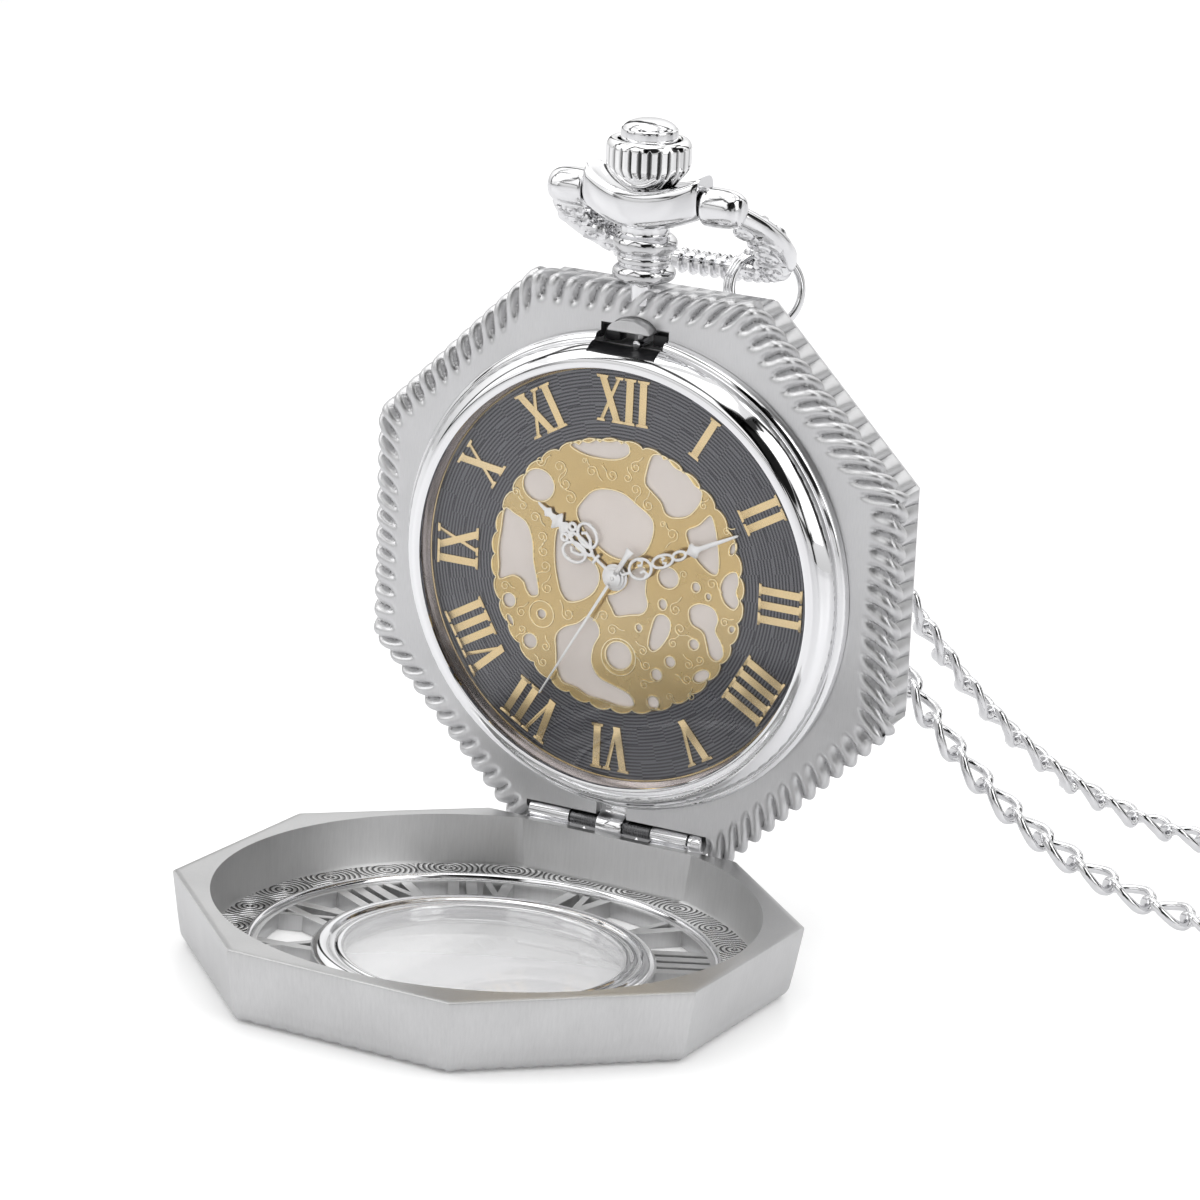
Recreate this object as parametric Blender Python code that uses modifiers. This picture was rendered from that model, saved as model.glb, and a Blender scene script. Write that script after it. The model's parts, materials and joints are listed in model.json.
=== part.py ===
"""Octagonal half-hunter pocket watch standing on its opened lid, with its bow, jump ring and curb chain.

World frame: +X runs along the lid hinge to the right of the dial, +Y to the rear and +Z up. The origin
lies on the table, on the outer face of the open lid, in the watch's centre plane and just in front of the
hinge axis. All sizes below are in millimetres.

Case frame (parent "case_frame"): x towards 3 o'clock, y towards 12 o'clock, z out of the flat front face.
Lid frame (parent "lid_frame"): x as in the world, y towards the hinge, z up from the rim of the open lid.
"""

import math

import bmesh
import bpy
from mathutils import Matrix, Vector

MM = 0.001

# Hinge, and how the case and the open lid hang on it
LID_HEIGHT = 6.08
RIM_DROP = 0.50  # the open lid's rim lies this far below the hinge axis
FACE_FORWARD = 0.45  # the case's flat face lies this far in front of the axis
HINGE_HEIGHT = LID_HEIGHT + RIM_DROP
HINGE_OFFSET = 22.45  # hinge axis to the centre of the case, and of the lid
HINGE_BEHIND = 2.45  # hinge axis to the origin, which lies on the lid's outer face
CASE_LEAN = 3.31  # degrees that the case leans forward over the lid
KNUCKLE_RADIUS = 0.72
PIN_RADIUS = 0.34
PIN_BORE = 0.40
LEFT_KNUCKLE = (-8.1, -4.25)
RIGHT_KNUCKLE = (3.45, 6.85)
CASE_KNUCKLE = (-4.15, 3.35)
LENS_RADIUS = 12.0

# Case
FACE_APOTHEM = 22.9
ROPE_APOTHEM = 24.26
ROPE_ROUNDING = 0.35
BAND_APOTHEM = 23.4
CASE_DEPTH = 6.0
CASE_BORE = 19.0
SEAT_RADIUS = 19.95
SEAT_DEPTH = 0.6
BACK_DEPTH = 8.2
STEM_DEPTH = 1.2  # the stem's axis lies this far behind the flat face
CLEAR = 0.05

# Bezel, crystal and dial
BEZEL_RADIUS = 20.4
BEZEL_OPENING = 17.8
BEZEL_HEIGHT = 3.05
CRYSTAL_STOP = 2.65  # underside of the bezel's inner lip
CRYSTAL_RADIUS = 18.4
DIAL_TOP = 1.40
DIAL_RADIUS = 18.7
CENTRE_RADIUS = 11.0
DISC_RADIUS = 11.8
SCALLOPS = 30

# Latch at 12 o'clock
RECESS_HALF = 3.1
RECESS_LOW = 19.1
RECESS_HIGH = 20.9
CATCH_HALF = 1.95
CATCH_TOP = 21.6
CATCH_OVERLAP = 0.35  # how far the catch stands out into the recess

# Hands: 10 h 10 min 35 s, as clockwise degrees from 12
SECOND_ANGLE = 210.0
MINUTE_ANGLE = 63.5
HOUR_ANGLE = 305.3

# Going train and motion work: teeth of each wheel and pinion, and centre distances
FOURTH_TEETH, FOURTH_LEAVES = 30, 6
FIFTH_TEETH, FIFTH_LEAVES = 36, 6
THIRD_TEETH, THIRD_LEAVES = 45, 6
CENTRE_TEETH, CANNON_LEAVES = 48, 8
MINUTE_TEETH, MINUTE_LEAVES = 24, 6
HOUR_TEETH = 24
SETTING_TEETH = 20
ROTOR_LEAVES = 6
THIRD_DISTANCE = 3.0
FIFTH_DISTANCE = 3.0
ROTOR_DISTANCE = 2.1
MINUTE_DISTANCE = 2.4
THIRD_PLACE = (THIRD_DISTANCE * math.cos(math.radians(210)), THIRD_DISTANCE * math.sin(math.radians(210)))
FIFTH_PLACE = (FIFTH_DISTANCE * math.cos(math.radians(30)), FIFTH_DISTANCE * math.sin(math.radians(30)))
ROTOR_PLACE = (FIFTH_PLACE[0] + ROTOR_DISTANCE, FIFTH_PLACE[1])
MINUTE_PLACE = (0.0, MINUTE_DISTANCE)
MINUTE_MODULE = 2 * MINUTE_DISTANCE / (CANNON_LEAVES + MINUTE_TEETH)
SETTING_PLACE = (0.0, MINUTE_DISTANCE + MINUTE_MODULE * (MINUTE_TEETH + SETTING_TEETH) / 2)
PLATE_RADIUS = 13.0
BRIDGE_CENTRE = (0.2, 1.0)
BRIDGE_RADIUS = 5.6
BATTERY_PLACE = (-1.5, -8.2)
BATTERY_RADIUS = 3.4
COIL_X = 8.6
BRIDGE_SCREWS = ((-3.6, 3.6), (1.9, 5.1))
MAINPLATE_LOW, MAINPLATE_HIGH = -0.30, 0.10
BRIDGE_LOW, BRIDGE_HIGH = -2.85, -2.35
ARBOR_RADIUS = 0.12
ARBOR_HOLE = 0.18
ARBOR_LOW, ARBOR_HIGH = -2.75, 0.0  # arbors run in the bridge and in the mainplate
MOTION_RADIUS = 0.14  # arbors of the minute and setting wheels
MOTION_HOLE = 0.20
SCREW_RADIUS = 0.25
SCREW_HOLE = 0.30
PIPE_BORE = 0.17  # bore of the cannon pipe, round the second hand's arbor
CANNON_RADIUS = 0.38
HOUR_BORE = 0.43  # bore of the hour wheel's pipe, round the cannon pipe
HOUR_PIPE_RADIUS = 0.64

# Crown, pendant and bow
CROWN_RADIUS = 3.5
CROWN_FOOT = 32.3
CROWN_TOP = 36.3
FLUTES = 26
BUTTON_RADIUS = 2.35
BUTTON_TOP = 38.0
BOW_PIVOT = 31.4  # y of the bow's pivot axis in the case frame
KNOB_INNER = 5.3  # pivot axis: the case's centre plane to the inner end of each knob
KNOB_RADIUS = 1.62
BOW_DROOP = 34.0  # degrees that the bow hangs below level, behind the case
BOW_WIRE = 0.95
RING_RADIUS = 3.25
RING_WIRE = 0.45
RING_SLACK = 0.15
RING_PLAY = 0.12
RING_FACING = (0.3, -0.9, 0.1)  # the way the ring's face is drawn round by the chain

# Curb chain: two strands that fall from the jump ring to the table
LINK_HALF_LENGTH = 2.05
LINK_HALF_WIDTH = 1.43
LINK_CORNERS = 8
LINK_WIRE = 0.46  # corner radius of the square wire that stands for a round one of 0.37
JOINED_OVERHANG = 0.30  # how far a link's wire reaches past a contact with a link of its own segment
HINGED_OVERHANG = 0.54  # the same, where the next segment hinges
LINKS_PER_SEGMENT = (5, 5, 5, 5)
CHAIN_REST = 1.45
SET_BACK = 2.0  # how far each strand swings out behind the case as it leaves the ring
STRANDS = {
    "upper": {"heading": 0.83, "fall": 0.0438, "splay": -24},
    "lower": {"heading": 0.22, "fall": 0.0384, "splay": 24},
}

# Sides of round shapes, and the angle from which an edge is shaded sharp
ROUND = 40
MEDIUM = 20
SMALL = 8
SHARP_ANGLE = math.radians(30)


def clear_scene():
    for found in list(bpy.data.objects):
        bpy.data.objects.remove(found)


def new_collection(name, hidden=False):
    made = bpy.data.collections.new(name)
    bpy.context.scene.collection.children.link(made)
    made.hide_render = hidden
    return made


def material(name, colour, roughness, metallic, alpha=1.0):
    made = bpy.data.materials.new(name)
    made.use_nodes = True
    shader = made.node_tree.nodes["Principled BSDF"]
    shader.inputs["Base Color"].default_value = (*colour, 1.0)
    shader.inputs["Roughness"].default_value = roughness
    shader.inputs["Metallic"].default_value = metallic
    shader.inputs["Alpha"].default_value = alpha
    made.diffuse_color = (*colour, alpha)
    return made


def frame(name, parent=None, location=(0, 0, 0), rotation=(0, 0, 0)):
    """An empty to hang pieces on: location in millimetres, rotation in degrees."""
    made = bpy.data.objects.new(name, None)
    made.empty_display_size = 2 * MM
    PIECES.objects.link(made)
    made.parent = parent
    made.location = Vector(location) * MM
    made.rotation_euler = [math.radians(angle) for angle in rotation]
    return made


def add(name, data, parent, location=(0, 0, 0), rotation=(0, 0, 0), finish=None):
    """Links a new object. With no finish it is a helper that shapes other pieces, and isn't rendered."""
    made = bpy.data.objects.new(name, data)
    (PIECES if finish else CUTTERS).objects.link(made)
    made.parent = parent
    made.location = Vector(location) * MM
    made.rotation_euler = [math.radians(angle) for angle in rotation]
    if finish:
        data.materials.append(finish)
    else:
        made.hide_render = True
        made.display_type = "WIRE"
    return made


def box(name, low, high, parent, finish=None, rotation=(0, 0, 0)):
    low, high = Vector(low), Vector(high)
    work = bmesh.new()
    bmesh.ops.create_cube(work, size=1.0)
    bmesh.ops.scale(work, vec=(high - low) * MM, verts=work.verts)
    mesh = bpy.data.meshes.new(name)
    work.to_mesh(mesh)
    work.free()
    return add(name, mesh, parent, (low + high) / 2, rotation, finish)


def rod(name, radius, start, end, parent, finish=None, sides=SMALL, radius_end=None):
    """A cylinder or a cone frustum from one point to another."""
    start, end = Vector(start), Vector(end)
    work = bmesh.new()
    bmesh.ops.create_cone(
        work,
        cap_ends=True,
        segments=sides,
        radius1=radius * MM,
        radius2=(radius if radius_end is None else radius_end) * MM,
        depth=(end - start).length * MM,
    )
    mesh = bpy.data.meshes.new(name)
    work.to_mesh(mesh)
    work.free()
    made = add(name, mesh, parent, (start + end) / 2, (0, 0, 0), finish)
    made.rotation_euler = Vector((0, 0, 1)).rotation_difference(end - start).to_euler()
    return made


def turned(
    name, profile, parent, finish=None, steps=ROUND, location=(0, 0, 0), rotation=(0, 0, 0), closed=False
):
    """A profile of (radius, height) points, outer side downwards, turned about the local Z axis."""
    mesh = bpy.data.meshes.new(name)
    points = [(radius * MM, 0, height * MM) for radius, height in profile]
    edges = [(i, i + 1) for i in range(len(points) - 1)]
    if closed:
        edges.append((len(points) - 1, 0))
    mesh.from_pydata(points, edges, [])
    made = add(name, mesh, parent, location, rotation, finish)
    screw = made.modifiers.new("turn", "SCREW")
    screw.steps = steps
    screw.render_steps = steps
    screw.use_merge_vertices = True
    screw.merge_threshold = 1e-6
    screw.use_smooth_shade = True
    return made


def plate(name, outlines, low, high, parent, finish=None, location=(0, 0), rotation=0.0):
    """A flat piece between two heights. The first outline is its edge and the others are its holes."""
    curve = bpy.data.curves.new(name, "CURVE")
    curve.dimensions = "2D"
    curve.fill_mode = "BOTH"
    curve.extrude = (high - low) / 2 * MM
    for outline in outlines:
        spline = curve.splines.new("POLY")
        spline.points.add(len(outline) - 1)
        for point, (x, y) in zip(spline.points, outline):
            point.co = (x * MM, y * MM, 0, 1)
        spline.use_cyclic_u = True
    place = (location[0], location[1], (low + high) / 2)
    return solidified(add(name, curve, parent, place, (0, 0, rotation), finish), finish)


def wire(name, points, radius, parent, finish, cyclic=False, resolution=2):
    """A round bar along a line of points."""
    curve = bpy.data.curves.new(name, "CURVE")
    curve.dimensions = "3D"
    curve.bevel_depth = radius * MM
    curve.bevel_resolution = resolution
    curve.use_fill_caps = not cyclic
    spline = curve.splines.new("POLY")
    spline.points.add(len(points) - 1)
    for point, place in zip(spline.points, points):
        point.co = (*(Vector(place) * MM), 1)
    spline.use_cyclic_u = cyclic
    return solidified(add(name, curve, parent, finish=finish), finish)


def solidified(obj, finish):
    """Turns a curve object into a mesh object with its caps welded on, in the same place."""
    mesh = evaluated_mesh(obj)
    work = bmesh.new()
    work.from_mesh(mesh)
    bmesh.ops.remove_doubles(work, verts=work.verts, dist=1e-7)
    bmesh.ops.recalc_face_normals(work, faces=work.faces)
    work.to_mesh(mesh)
    work.free()
    mesh.materials.clear()
    name, parent = obj.name, obj.parent
    location, rotation = obj.location / MM, [math.degrees(angle) for angle in obj.rotation_euler]
    bpy.data.objects.remove(obj)
    return add(name, mesh, parent, location, rotation, finish)


def evaluated_mesh(obj):
    bpy.context.view_layer.update()
    graph = bpy.context.evaluated_depsgraph_get()
    return bpy.data.meshes.new_from_object(obj.evaluated_get(graph))


def boolean(target, other, operation, solver):
    modifier = target.modifiers.new(operation.lower(), "BOOLEAN")
    modifier.operation = operation
    modifier.solver = solver
    modifier.object = other


def cut(target, *cutters, solver="EXACT"):
    for cutter in cutters:
        boolean(target, cutter, "DIFFERENCE", solver)


def fuse(target, *others, solver="EXACT"):
    """Joins the other shapes to the target with Boolean unions, for good, and removes them."""
    for other in others:
        boolean(target, other, "UNION", solver)
    mesh = evaluated_mesh(target)
    target.modifiers.clear()
    target.data = mesh
    for other in others:
        bpy.data.objects.remove(other)
    return target


def circle(radius, sides=MEDIUM, centre=(0, 0)):
    return arc(radius, 0, 360 * (sides - 1) / sides, sides, centre)


def arc(radius, first, last, count, centre=(0, 0)):
    """Points evenly spaced round a circle, from one angle to another in degrees."""
    angles = [math.radians(first + (last - first) * i / (count - 1)) for i in range(count)]
    return [(centre[0] + radius * math.cos(a), centre[1] + radius * math.sin(a)) for a in angles]


def gear(teeth, module, tooth_at):
    """A gear's outline: three points a tooth, with one tooth centred at the angle tooth_at."""
    tip = module * (teeth / 2 + 0.9)
    root = module * (teeth / 2 - 1.15)
    pitch = 2 * math.pi / teeth
    shape = ((root, -0.3), (tip, 0.0), (root, 0.3))
    return [
        (radius * math.cos(tooth_at + (i + share) * pitch), radius * math.sin(tooth_at + (i + share) * pitch))
        for i in range(teeth)
        for radius, share in shape
    ]


def meshing(teeth, place, tooth_at, other_teeth, other_place):
    """The tooth_at angle that puts the other gear in mesh with this one."""
    heading = math.atan2(other_place[1] - place[1], other_place[0] - place[0])
    share = (heading - tooth_at) * teeth / (2 * math.pi)
    return heading + math.pi - (0.5 - share) * 2 * math.pi / other_teeth


def wheel_and_pinion(name, parent, finish, wheel, pinion, arbor):
    """One solid of a toothed wheel, a pinion and an arbor. Each toothed part is (outline, low, high)."""
    made = plate(name, [wheel[0]], wheel[1], wheel[2], parent, finish)
    parts = [rod(name + "_arbor", arbor[0], (0, 0, arbor[1]), (0, 0, arbor[2]), parent, finish, SMALL)]
    if pinion:
        parts.append(plate(name + "_pinion", [pinion[0]], pinion[1], pinion[2], parent, finish))
    return fuse(made, *parts)


# ---------------------------------------------------------------- case


def octagonal(name, profile, parent):
    """A steel piece with eight flats. Its profile gives each apothem and height, on the local Z axis."""
    corners = [(apothem / math.cos(math.pi / 8), height) for apothem, height in profile]
    return turned(name, corners, parent, STEEL, 8, rotation=(0, 0, 22.5))


def middle_case():
    profile = [
        (0, 0),
        (FACE_APOTHEM, 0),
        (ROPE_APOTHEM - ROPE_ROUNDING, -0.25),
        (ROPE_APOTHEM, -1.0),
        (ROPE_APOTHEM, -1.9),
        (ROPE_APOTHEM - ROPE_ROUNDING, -2.65),
        (BAND_APOTHEM, -2.95),
        (BAND_APOTHEM, -CASE_DEPTH),
        (0, -CASE_DEPTH),
    ]
    case = octagonal("middle_case", profile, CASE)
    hinge_y, hinge_z = -HINGE_OFFSET, -FACE_FORWARD
    cut(
        case,
        rod("case_bore_cutter", CASE_BORE, (0, 0, -CASE_DEPTH - 1), (0, 0, 1), CASE, None, ROUND),
        rod("bezel_seat_cutter", SEAT_RADIUS, (0, 0, -SEAT_DEPTH), (0, 0, 1), CASE, None, ROUND),
        LATCH_RECESS,
        CATCH_POCKET,
        box("hinge_notch_cutter", (-8.4, -25.5, -1.45), (8.6, -21.6, 1), CASE),
        box("lift_spring_cutter", (-1.75, -21.8, -0.65), (1.1, -20.55, 1), CASE),
        rod("pendant_hole_cutter", 1.15, (0, 22.3, -STEM_DEPTH), (0, 26, -STEM_DEPTH), CASE, None, MEDIUM),
        rod("stem_hole_cutter", 0.62, (0, 18, -STEM_DEPTH), (0, 26, -STEM_DEPTH), CASE, None, SMALL),
    )
    low, high = CASE_KNUCKLE
    knuckle = rod(
        "case_knuckle", 0.62, (low, hinge_y, hinge_z), (high, hinge_y, hinge_z), CASE, STEEL, MEDIUM
    )
    foot = box(
        "case_knuckle_foot", (low, hinge_y - 0.5, -1.6), (high, hinge_y + 0.5, hinge_z - 0.42), CASE, STEEL
    )
    fuse(case, knuckle, foot)
    ends = (-8.3, hinge_y, hinge_z), (8.5, hinge_y, hinge_z)
    cut(case, rod("case_knuckle_bore_cutter", PIN_BORE, *ends, CASE))


def back_cover():
    top = -CASE_DEPTH - CLEAR
    profile = [
        (0, top),
        (22.9, top),
        (23.1, top - 0.5),
        (22.4, top - 1.2),
        (19.0, -BACK_DEPTH),
        (0, -BACK_DEPTH),
    ]
    cover = octagonal("back_cover", profile, CASE)
    edges = [circle(CASE_BORE - CLEAR, ROUND), circle(17.5, ROUND)]
    lip = plate("back_cover_lip", edges, top - 0.4, top + 0.75, CASE, STEEL)
    hollow = rod("back_cover_cutter", 18.2, (0, 0, top - 0.9), (0, 0, top + 1), CASE, None, ROUND)
    fuse(cover, lip)
    cut(cover, hollow)


def bezel():
    profile = [
        (BEZEL_OPENING, BEZEL_HEIGHT),
        (18.7, BEZEL_HEIGHT - 0.05),
        (19.4, BEZEL_HEIGHT - 0.6),
        (19.75, BEZEL_HEIGHT - 1.3),
        (19.8, 1.1),
        (20.1, 0.95),
        (BEZEL_RADIUS, 0.4),
        (BEZEL_RADIUS, CLEAR),
        (SEAT_RADIUS - CLEAR, CLEAR),
        (SEAT_RADIUS - CLEAR, -SEAT_DEPTH + CLEAR),
        (CASE_BORE, -SEAT_DEPTH + CLEAR),
        (CASE_BORE, CRYSTAL_STOP),
        (BEZEL_OPENING, CRYSTAL_STOP),
    ]
    ring = turned("bezel", profile, CASE, POLISHED, ROUND, closed=True)
    cut(ring, LATCH_RECESS, CATCH_POCKET)


def crystal():
    """A domed disc that lies just under the bezel's inner lip."""
    edge_low, edge_high, rise = 2.10, CRYSTAL_STOP - CLEAR, 0.62
    steps = (0.0, 0.35, 0.65, 0.85, 1.0)
    top = [(CRYSTAL_RADIUS * s, edge_high + rise * (1 - s * s)) for s in steps]
    bottom = [(CRYSTAL_RADIUS * s, edge_low + rise * (1 - s * s)) for s in reversed(steps)]
    turned("crystal", top + bottom, CASE, GLASS, ROUND)


def dial():
    """The chapter ring under the crystal, the dial, the cream plate and the pierced gold disc over it."""
    ring = [circle(CASE_BORE - CLEAR, ROUND), circle(17.45, ROUND)]
    plate("dial_ring", ring, DIAL_TOP + 0.02, DIAL_TOP + 0.6, CASE, CHAMPAGNE)
    plate("crystal_gasket", [ring[0], circle(CRYSTAL_RADIUS + CLEAR, ROUND)], 2.06, 2.62, CASE, NYLON)
    main = [circle(DIAL_RADIUS, ROUND), circle(CENTRE_RADIUS + CLEAR, MEDIUM)]
    plate("dial_plate", main, DIAL_TOP - 0.4, DIAL_TOP, CASE, DIAL)
    centre = [circle(CENTRE_RADIUS, MEDIUM), circle(0.8, SMALL)]
    plate("dial_backing", centre, DIAL_TOP - 0.4, DIAL_TOP - 0.02, CASE, CREAM)
    scallops = []
    for i in range(SCALLOPS):
        for share, rise in ((0.0, -0.32), (0.3, 0.05), (0.7, 0.05)):
            turn = (i + share) * 2 * math.pi / SCALLOPS
            radius = DISC_RADIUS + rise
            scallops.append((radius * math.cos(turn), radius * math.sin(turn)))
    windows = [oval(*window) for window in DISC_WINDOWS]
    disc = [scallops, circle(0.8, SMALL)] + windows
    plate("skeleton_disc", disc, DIAL_TOP + 0.02, DIAL_TOP + 0.16, CASE, GOLD)


# Windows of the skeleton disc: centre x, y, half length, half width, turn in degrees
DISC_WINDOWS = (
    (-6.9, 6.1, 1.5, 1.3, 45),
    (-9.0, 0.6, 2.5, 1.3, 80),
    (-1.2, 9.2, 2.3, 1.2, 0),
    (4.3, 7.4, 3.0, 1.9, -40),
    (-1.2, 4.4, 2.9, 2.1, 10),
    (8.3, 3.4, 2.1, 1.1, -45),
    (-2.6, -1.4, 2.6, 1.7, 60),
    (2.2, -2.6, 1.6, 2.0, 10),
    (-4.8, -6.6, 3.4, 1.8, -50),
    (1.1, -6.9, 1.4, 1.4, 0),
    (5.3, -4.6, 1.0, 1.0, 0),
    (8.2, -2.2, 1.7, 1.2, 60),
    (4.4, -8.2, 0.9, 0.9, 0),
)


def oval(x, y, half_length, half_width, turn, sides=SMALL):
    cos, sin = math.cos(math.radians(turn)), math.sin(math.radians(turn))
    shape = [(half_length * u, half_width * v) for u, v in circle(1, sides)]
    return [(x + u * cos - v * sin, y + u * sin + v * cos) for u, v in shape]


def latch_cutters():
    """The recess at 12 that the catch moves in, and the pocket for the catch itself."""
    recess = box("latch_recess_cutter", (-RECESS_HALF, RECESS_LOW, -2.6), (RECESS_HALF, RECESS_HIGH, 4), CASE)
    pocket = plate("catch_pocket_cutter", [catch_outline(0.15)], -0.4, 4, CASE)
    return recess, pocket


def catch_outline(grow=0.0):
    """A half oval with its flat side towards the dial."""
    foot = RECESS_HIGH - CATCH_OVERLAP - grow
    width, rise = CATCH_HALF + grow, CATCH_TOP - RECESS_HIGH + CATCH_OVERLAP + 2 * grow
    return [(width * x, foot + rise * y) for x, y in arc(1, 0, 180, 13)]


def catch():
    plate("latch_catch", [catch_outline()], -0.25, 1.25, frame("catch_slide", CASE), POLISHED)


# ---------------------------------------------------------------- movement


def movement_frame_parts():
    """The nylon holder, the mainplate, and the train bridge with its two screws."""
    edges = [circle(CASE_BORE - 0.1, ROUND), circle(PLATE_RADIUS + 0.1, ROUND)]
    holder = plate("movement_holder", edges, -5.2, 0.95, CASE, NYLON)
    slot = box("holder_slot_cutter", (-1.1, 12, -STEM_DEPTH - 1.1), (1.1, 20, -STEM_DEPTH + 1.1), CASE)
    cut(holder, slot, LATCH_RECESS)

    pivots = [THIRD_PLACE, FIFTH_PLACE, ROTOR_PLACE]
    window = [(-1.3, 6.8), (1.3, 6.8), (1.3, 9.6), (-1.3, 9.6)]
    screws = [circle(SCREW_HOLE, SMALL, place) for place in BRIDGE_SCREWS]
    holes = [circle(0.46, SMALL)]
    holes += [circle(MOTION_HOLE, SMALL, place) for place in (MINUTE_PLACE, SETTING_PLACE)]
    holes += [circle(ARBOR_HOLE, SMALL, place) for place in pivots] + screws
    edge = circle(PLATE_RADIUS, ROUND)
    plate("mainplate", [edge, window] + holes, MAINPLATE_LOW, MAINPLATE_HIGH, CASE, BRASS)

    holes = [circle(ARBOR_HOLE, SMALL, place) for place in [(0, 0)] + pivots] + screws
    edge = circle(BRIDGE_RADIUS, MEDIUM, BRIDGE_CENTRE)
    plate("train_bridge", [edge] + holes, BRIDGE_LOW, BRIDGE_HIGH, CASE, BRASS)
    under = BRIDGE_LOW - 0.02
    for number, (x, y) in enumerate(BRIDGE_SCREWS, 1):
        screw = turned(
            f"bridge_screw_{number}",
            [(0, 0.0), (SCREW_RADIUS, 0.0), (SCREW_RADIUS, under), (0.6, under), (0.6, -3.1), (0, -3.1)],
            CASE,
            STEEL,
            SMALL,
            (x, y, 0),
        )
        slot = box(f"screw_slot_cutter_{number}", (x - 1, y - 0.08, -3.2), (x + 1, y + 0.08, -3.02), CASE)
        cut(screw, slot)


def motor():
    """The stepping motor's stator and coil, with the battery, its strap and the circuit board."""
    x, y = ROTOR_PLACE
    arms = [
        (x - 1.35, -5.6),
        (COIL_X + 0.7, -5.6),
        (COIL_X + 0.7, -4.6),
        (x + 1.35, -4.6),
        (x + 1.35, 4.6),
        (COIL_X + 0.7, 4.6),
        (COIL_X + 0.7, 5.6),
        (x - 1.35, 5.6),
    ]
    plate("stator", [arms, circle(1.0, 16, (x, y))], -1.3, -1.05, CASE, STEEL)
    coil = rod("motor_coil", 0.85, (COIL_X, -3.6, -1.62), (COIL_X, 3.6, -1.62), CASE, COPPER, 16)
    core = box("motor_coil_core", (COIL_X - 0.5, -5.6, -1.75), (COIL_X + 0.5, 5.6, -1.35), CASE, COPPER)
    fuse(coil, core)

    cell = [(0, -1.0), (2.9, -1.0), (3.0, -1.25), (BATTERY_RADIUS, -1.3)]
    cell += [(BATTERY_RADIUS, -3.45), (BATTERY_RADIUS - 0.2, -3.6), (0, -3.6)]
    turned("battery", cell, CASE, POLISHED, MEDIUM, (*BATTERY_PLACE, 0))
    bx, by = BATTERY_PLACE
    strap = [(bx - 4.6, by - 0.9), (bx + 4.6, by - 0.5), (bx + 4.6, by + 0.5), (bx - 4.6, by + 0.9)]
    plate("battery_strap", [strap], -3.85, -3.65, CASE, STEEL)

    sector = arc(12.4, -40, 60, 11) + arc(6.8, 60, -40, 11)
    plate("circuit_board", [sector], -2.95, -2.7, CASE, BOARD)


def going_train():
    """Second hand, fourth wheel, third, centre, fifth wheels and rotor, all in mesh at rest."""
    seconds = frame("seconds_axis", CASE, (0, 0, 0))
    minutes = frame("minutes_axis", CASE, (0, 0, 0))
    third = frame("third_axis", CASE, (*THIRD_PLACE, 0))
    fifth = frame("fifth_axis", CASE, (*FIFTH_PLACE, 0))
    rotor = frame("rotor_axis", CASE, (*ROTOR_PLACE, 0))

    module_54 = 2 * FIFTH_DISTANCE / (FIFTH_LEAVES + FOURTH_TEETH)
    module_43 = 2 * THIRD_DISTANCE / (FOURTH_LEAVES + THIRD_TEETH)
    module_3c = 2 * THIRD_DISTANCE / (THIRD_LEAVES + CENTRE_TEETH)
    module_r5 = 2 * ROTOR_DISTANCE / (ROTOR_LEAVES + FIFTH_TEETH)
    centre = (0.0, 0.0)

    third_at = meshing(FOURTH_LEAVES, centre, 0, THIRD_TEETH, THIRD_PLACE)
    centre_at = meshing(THIRD_LEAVES, THIRD_PLACE, 0, CENTRE_TEETH, centre)
    fifth_pinion_at = meshing(FOURTH_TEETH, centre, 0, FIFTH_LEAVES, FIFTH_PLACE)
    rotor_at = meshing(FIFTH_TEETH, FIFTH_PLACE, 0, ROTOR_LEAVES, ROTOR_PLACE)

    wheel_and_pinion(
        "fourth_wheel",
        seconds,
        BRASS,
        (gear(FOURTH_TEETH, module_54, 0), -1.95, -1.78),
        (gear(FOURTH_LEAVES, module_43, 0), -1.8, -1.15),
        (ARBOR_RADIUS, ARBOR_LOW, 2.30),
    )
    wheel_and_pinion(
        "third_wheel",
        third,
        BRASS,
        (gear(THIRD_TEETH, module_43, third_at), -1.45, -1.3),
        (gear(THIRD_LEAVES, module_3c, 0), -1.32, -0.5),
        (ARBOR_RADIUS, ARBOR_LOW, ARBOR_HIGH),
    )
    wheel_and_pinion(
        "fifth_wheel",
        fifth,
        BRASS,
        (gear(FIFTH_TEETH, module_r5, 0), -2.25, -2.1),
        (gear(FIFTH_LEAVES, module_54, fifth_pinion_at), -2.12, -1.7),
        (ARBOR_RADIUS, ARBOR_LOW, ARBOR_HIGH),
    )
    spindle = wheel_and_pinion(
        "rotor",
        rotor,
        STEEL,
        (gear(ROTOR_LEAVES, module_r5, rotor_at), -2.3, -1.7),
        None,
        (ARBOR_RADIUS, ARBOR_LOW, ARBOR_HIGH),
    )
    fuse(spindle, rod("rotor_magnet", 0.75, (0, 0, -1.72), (0, 0, -0.7), rotor, STEEL, 16))

    bore = circle(PIPE_BORE, SMALL)
    teeth = gear(CENTRE_TEETH, module_3c, centre_at)
    centre_wheel = plate("centre_wheel", [teeth, bore], -0.85, -0.7, minutes, BRASS)
    pipe = plate("cannon_pipe", [circle(CANNON_RADIUS, SMALL), bore], -0.72, 2.10, minutes, BRASS)
    leaves = [gear(CANNON_LEAVES, MINUTE_MODULE, 0), circle(0.3, SMALL)]
    fuse(centre_wheel, pipe, plate("cannon_leaves", leaves, 0.2, 0.45, minutes, BRASS))


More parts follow.
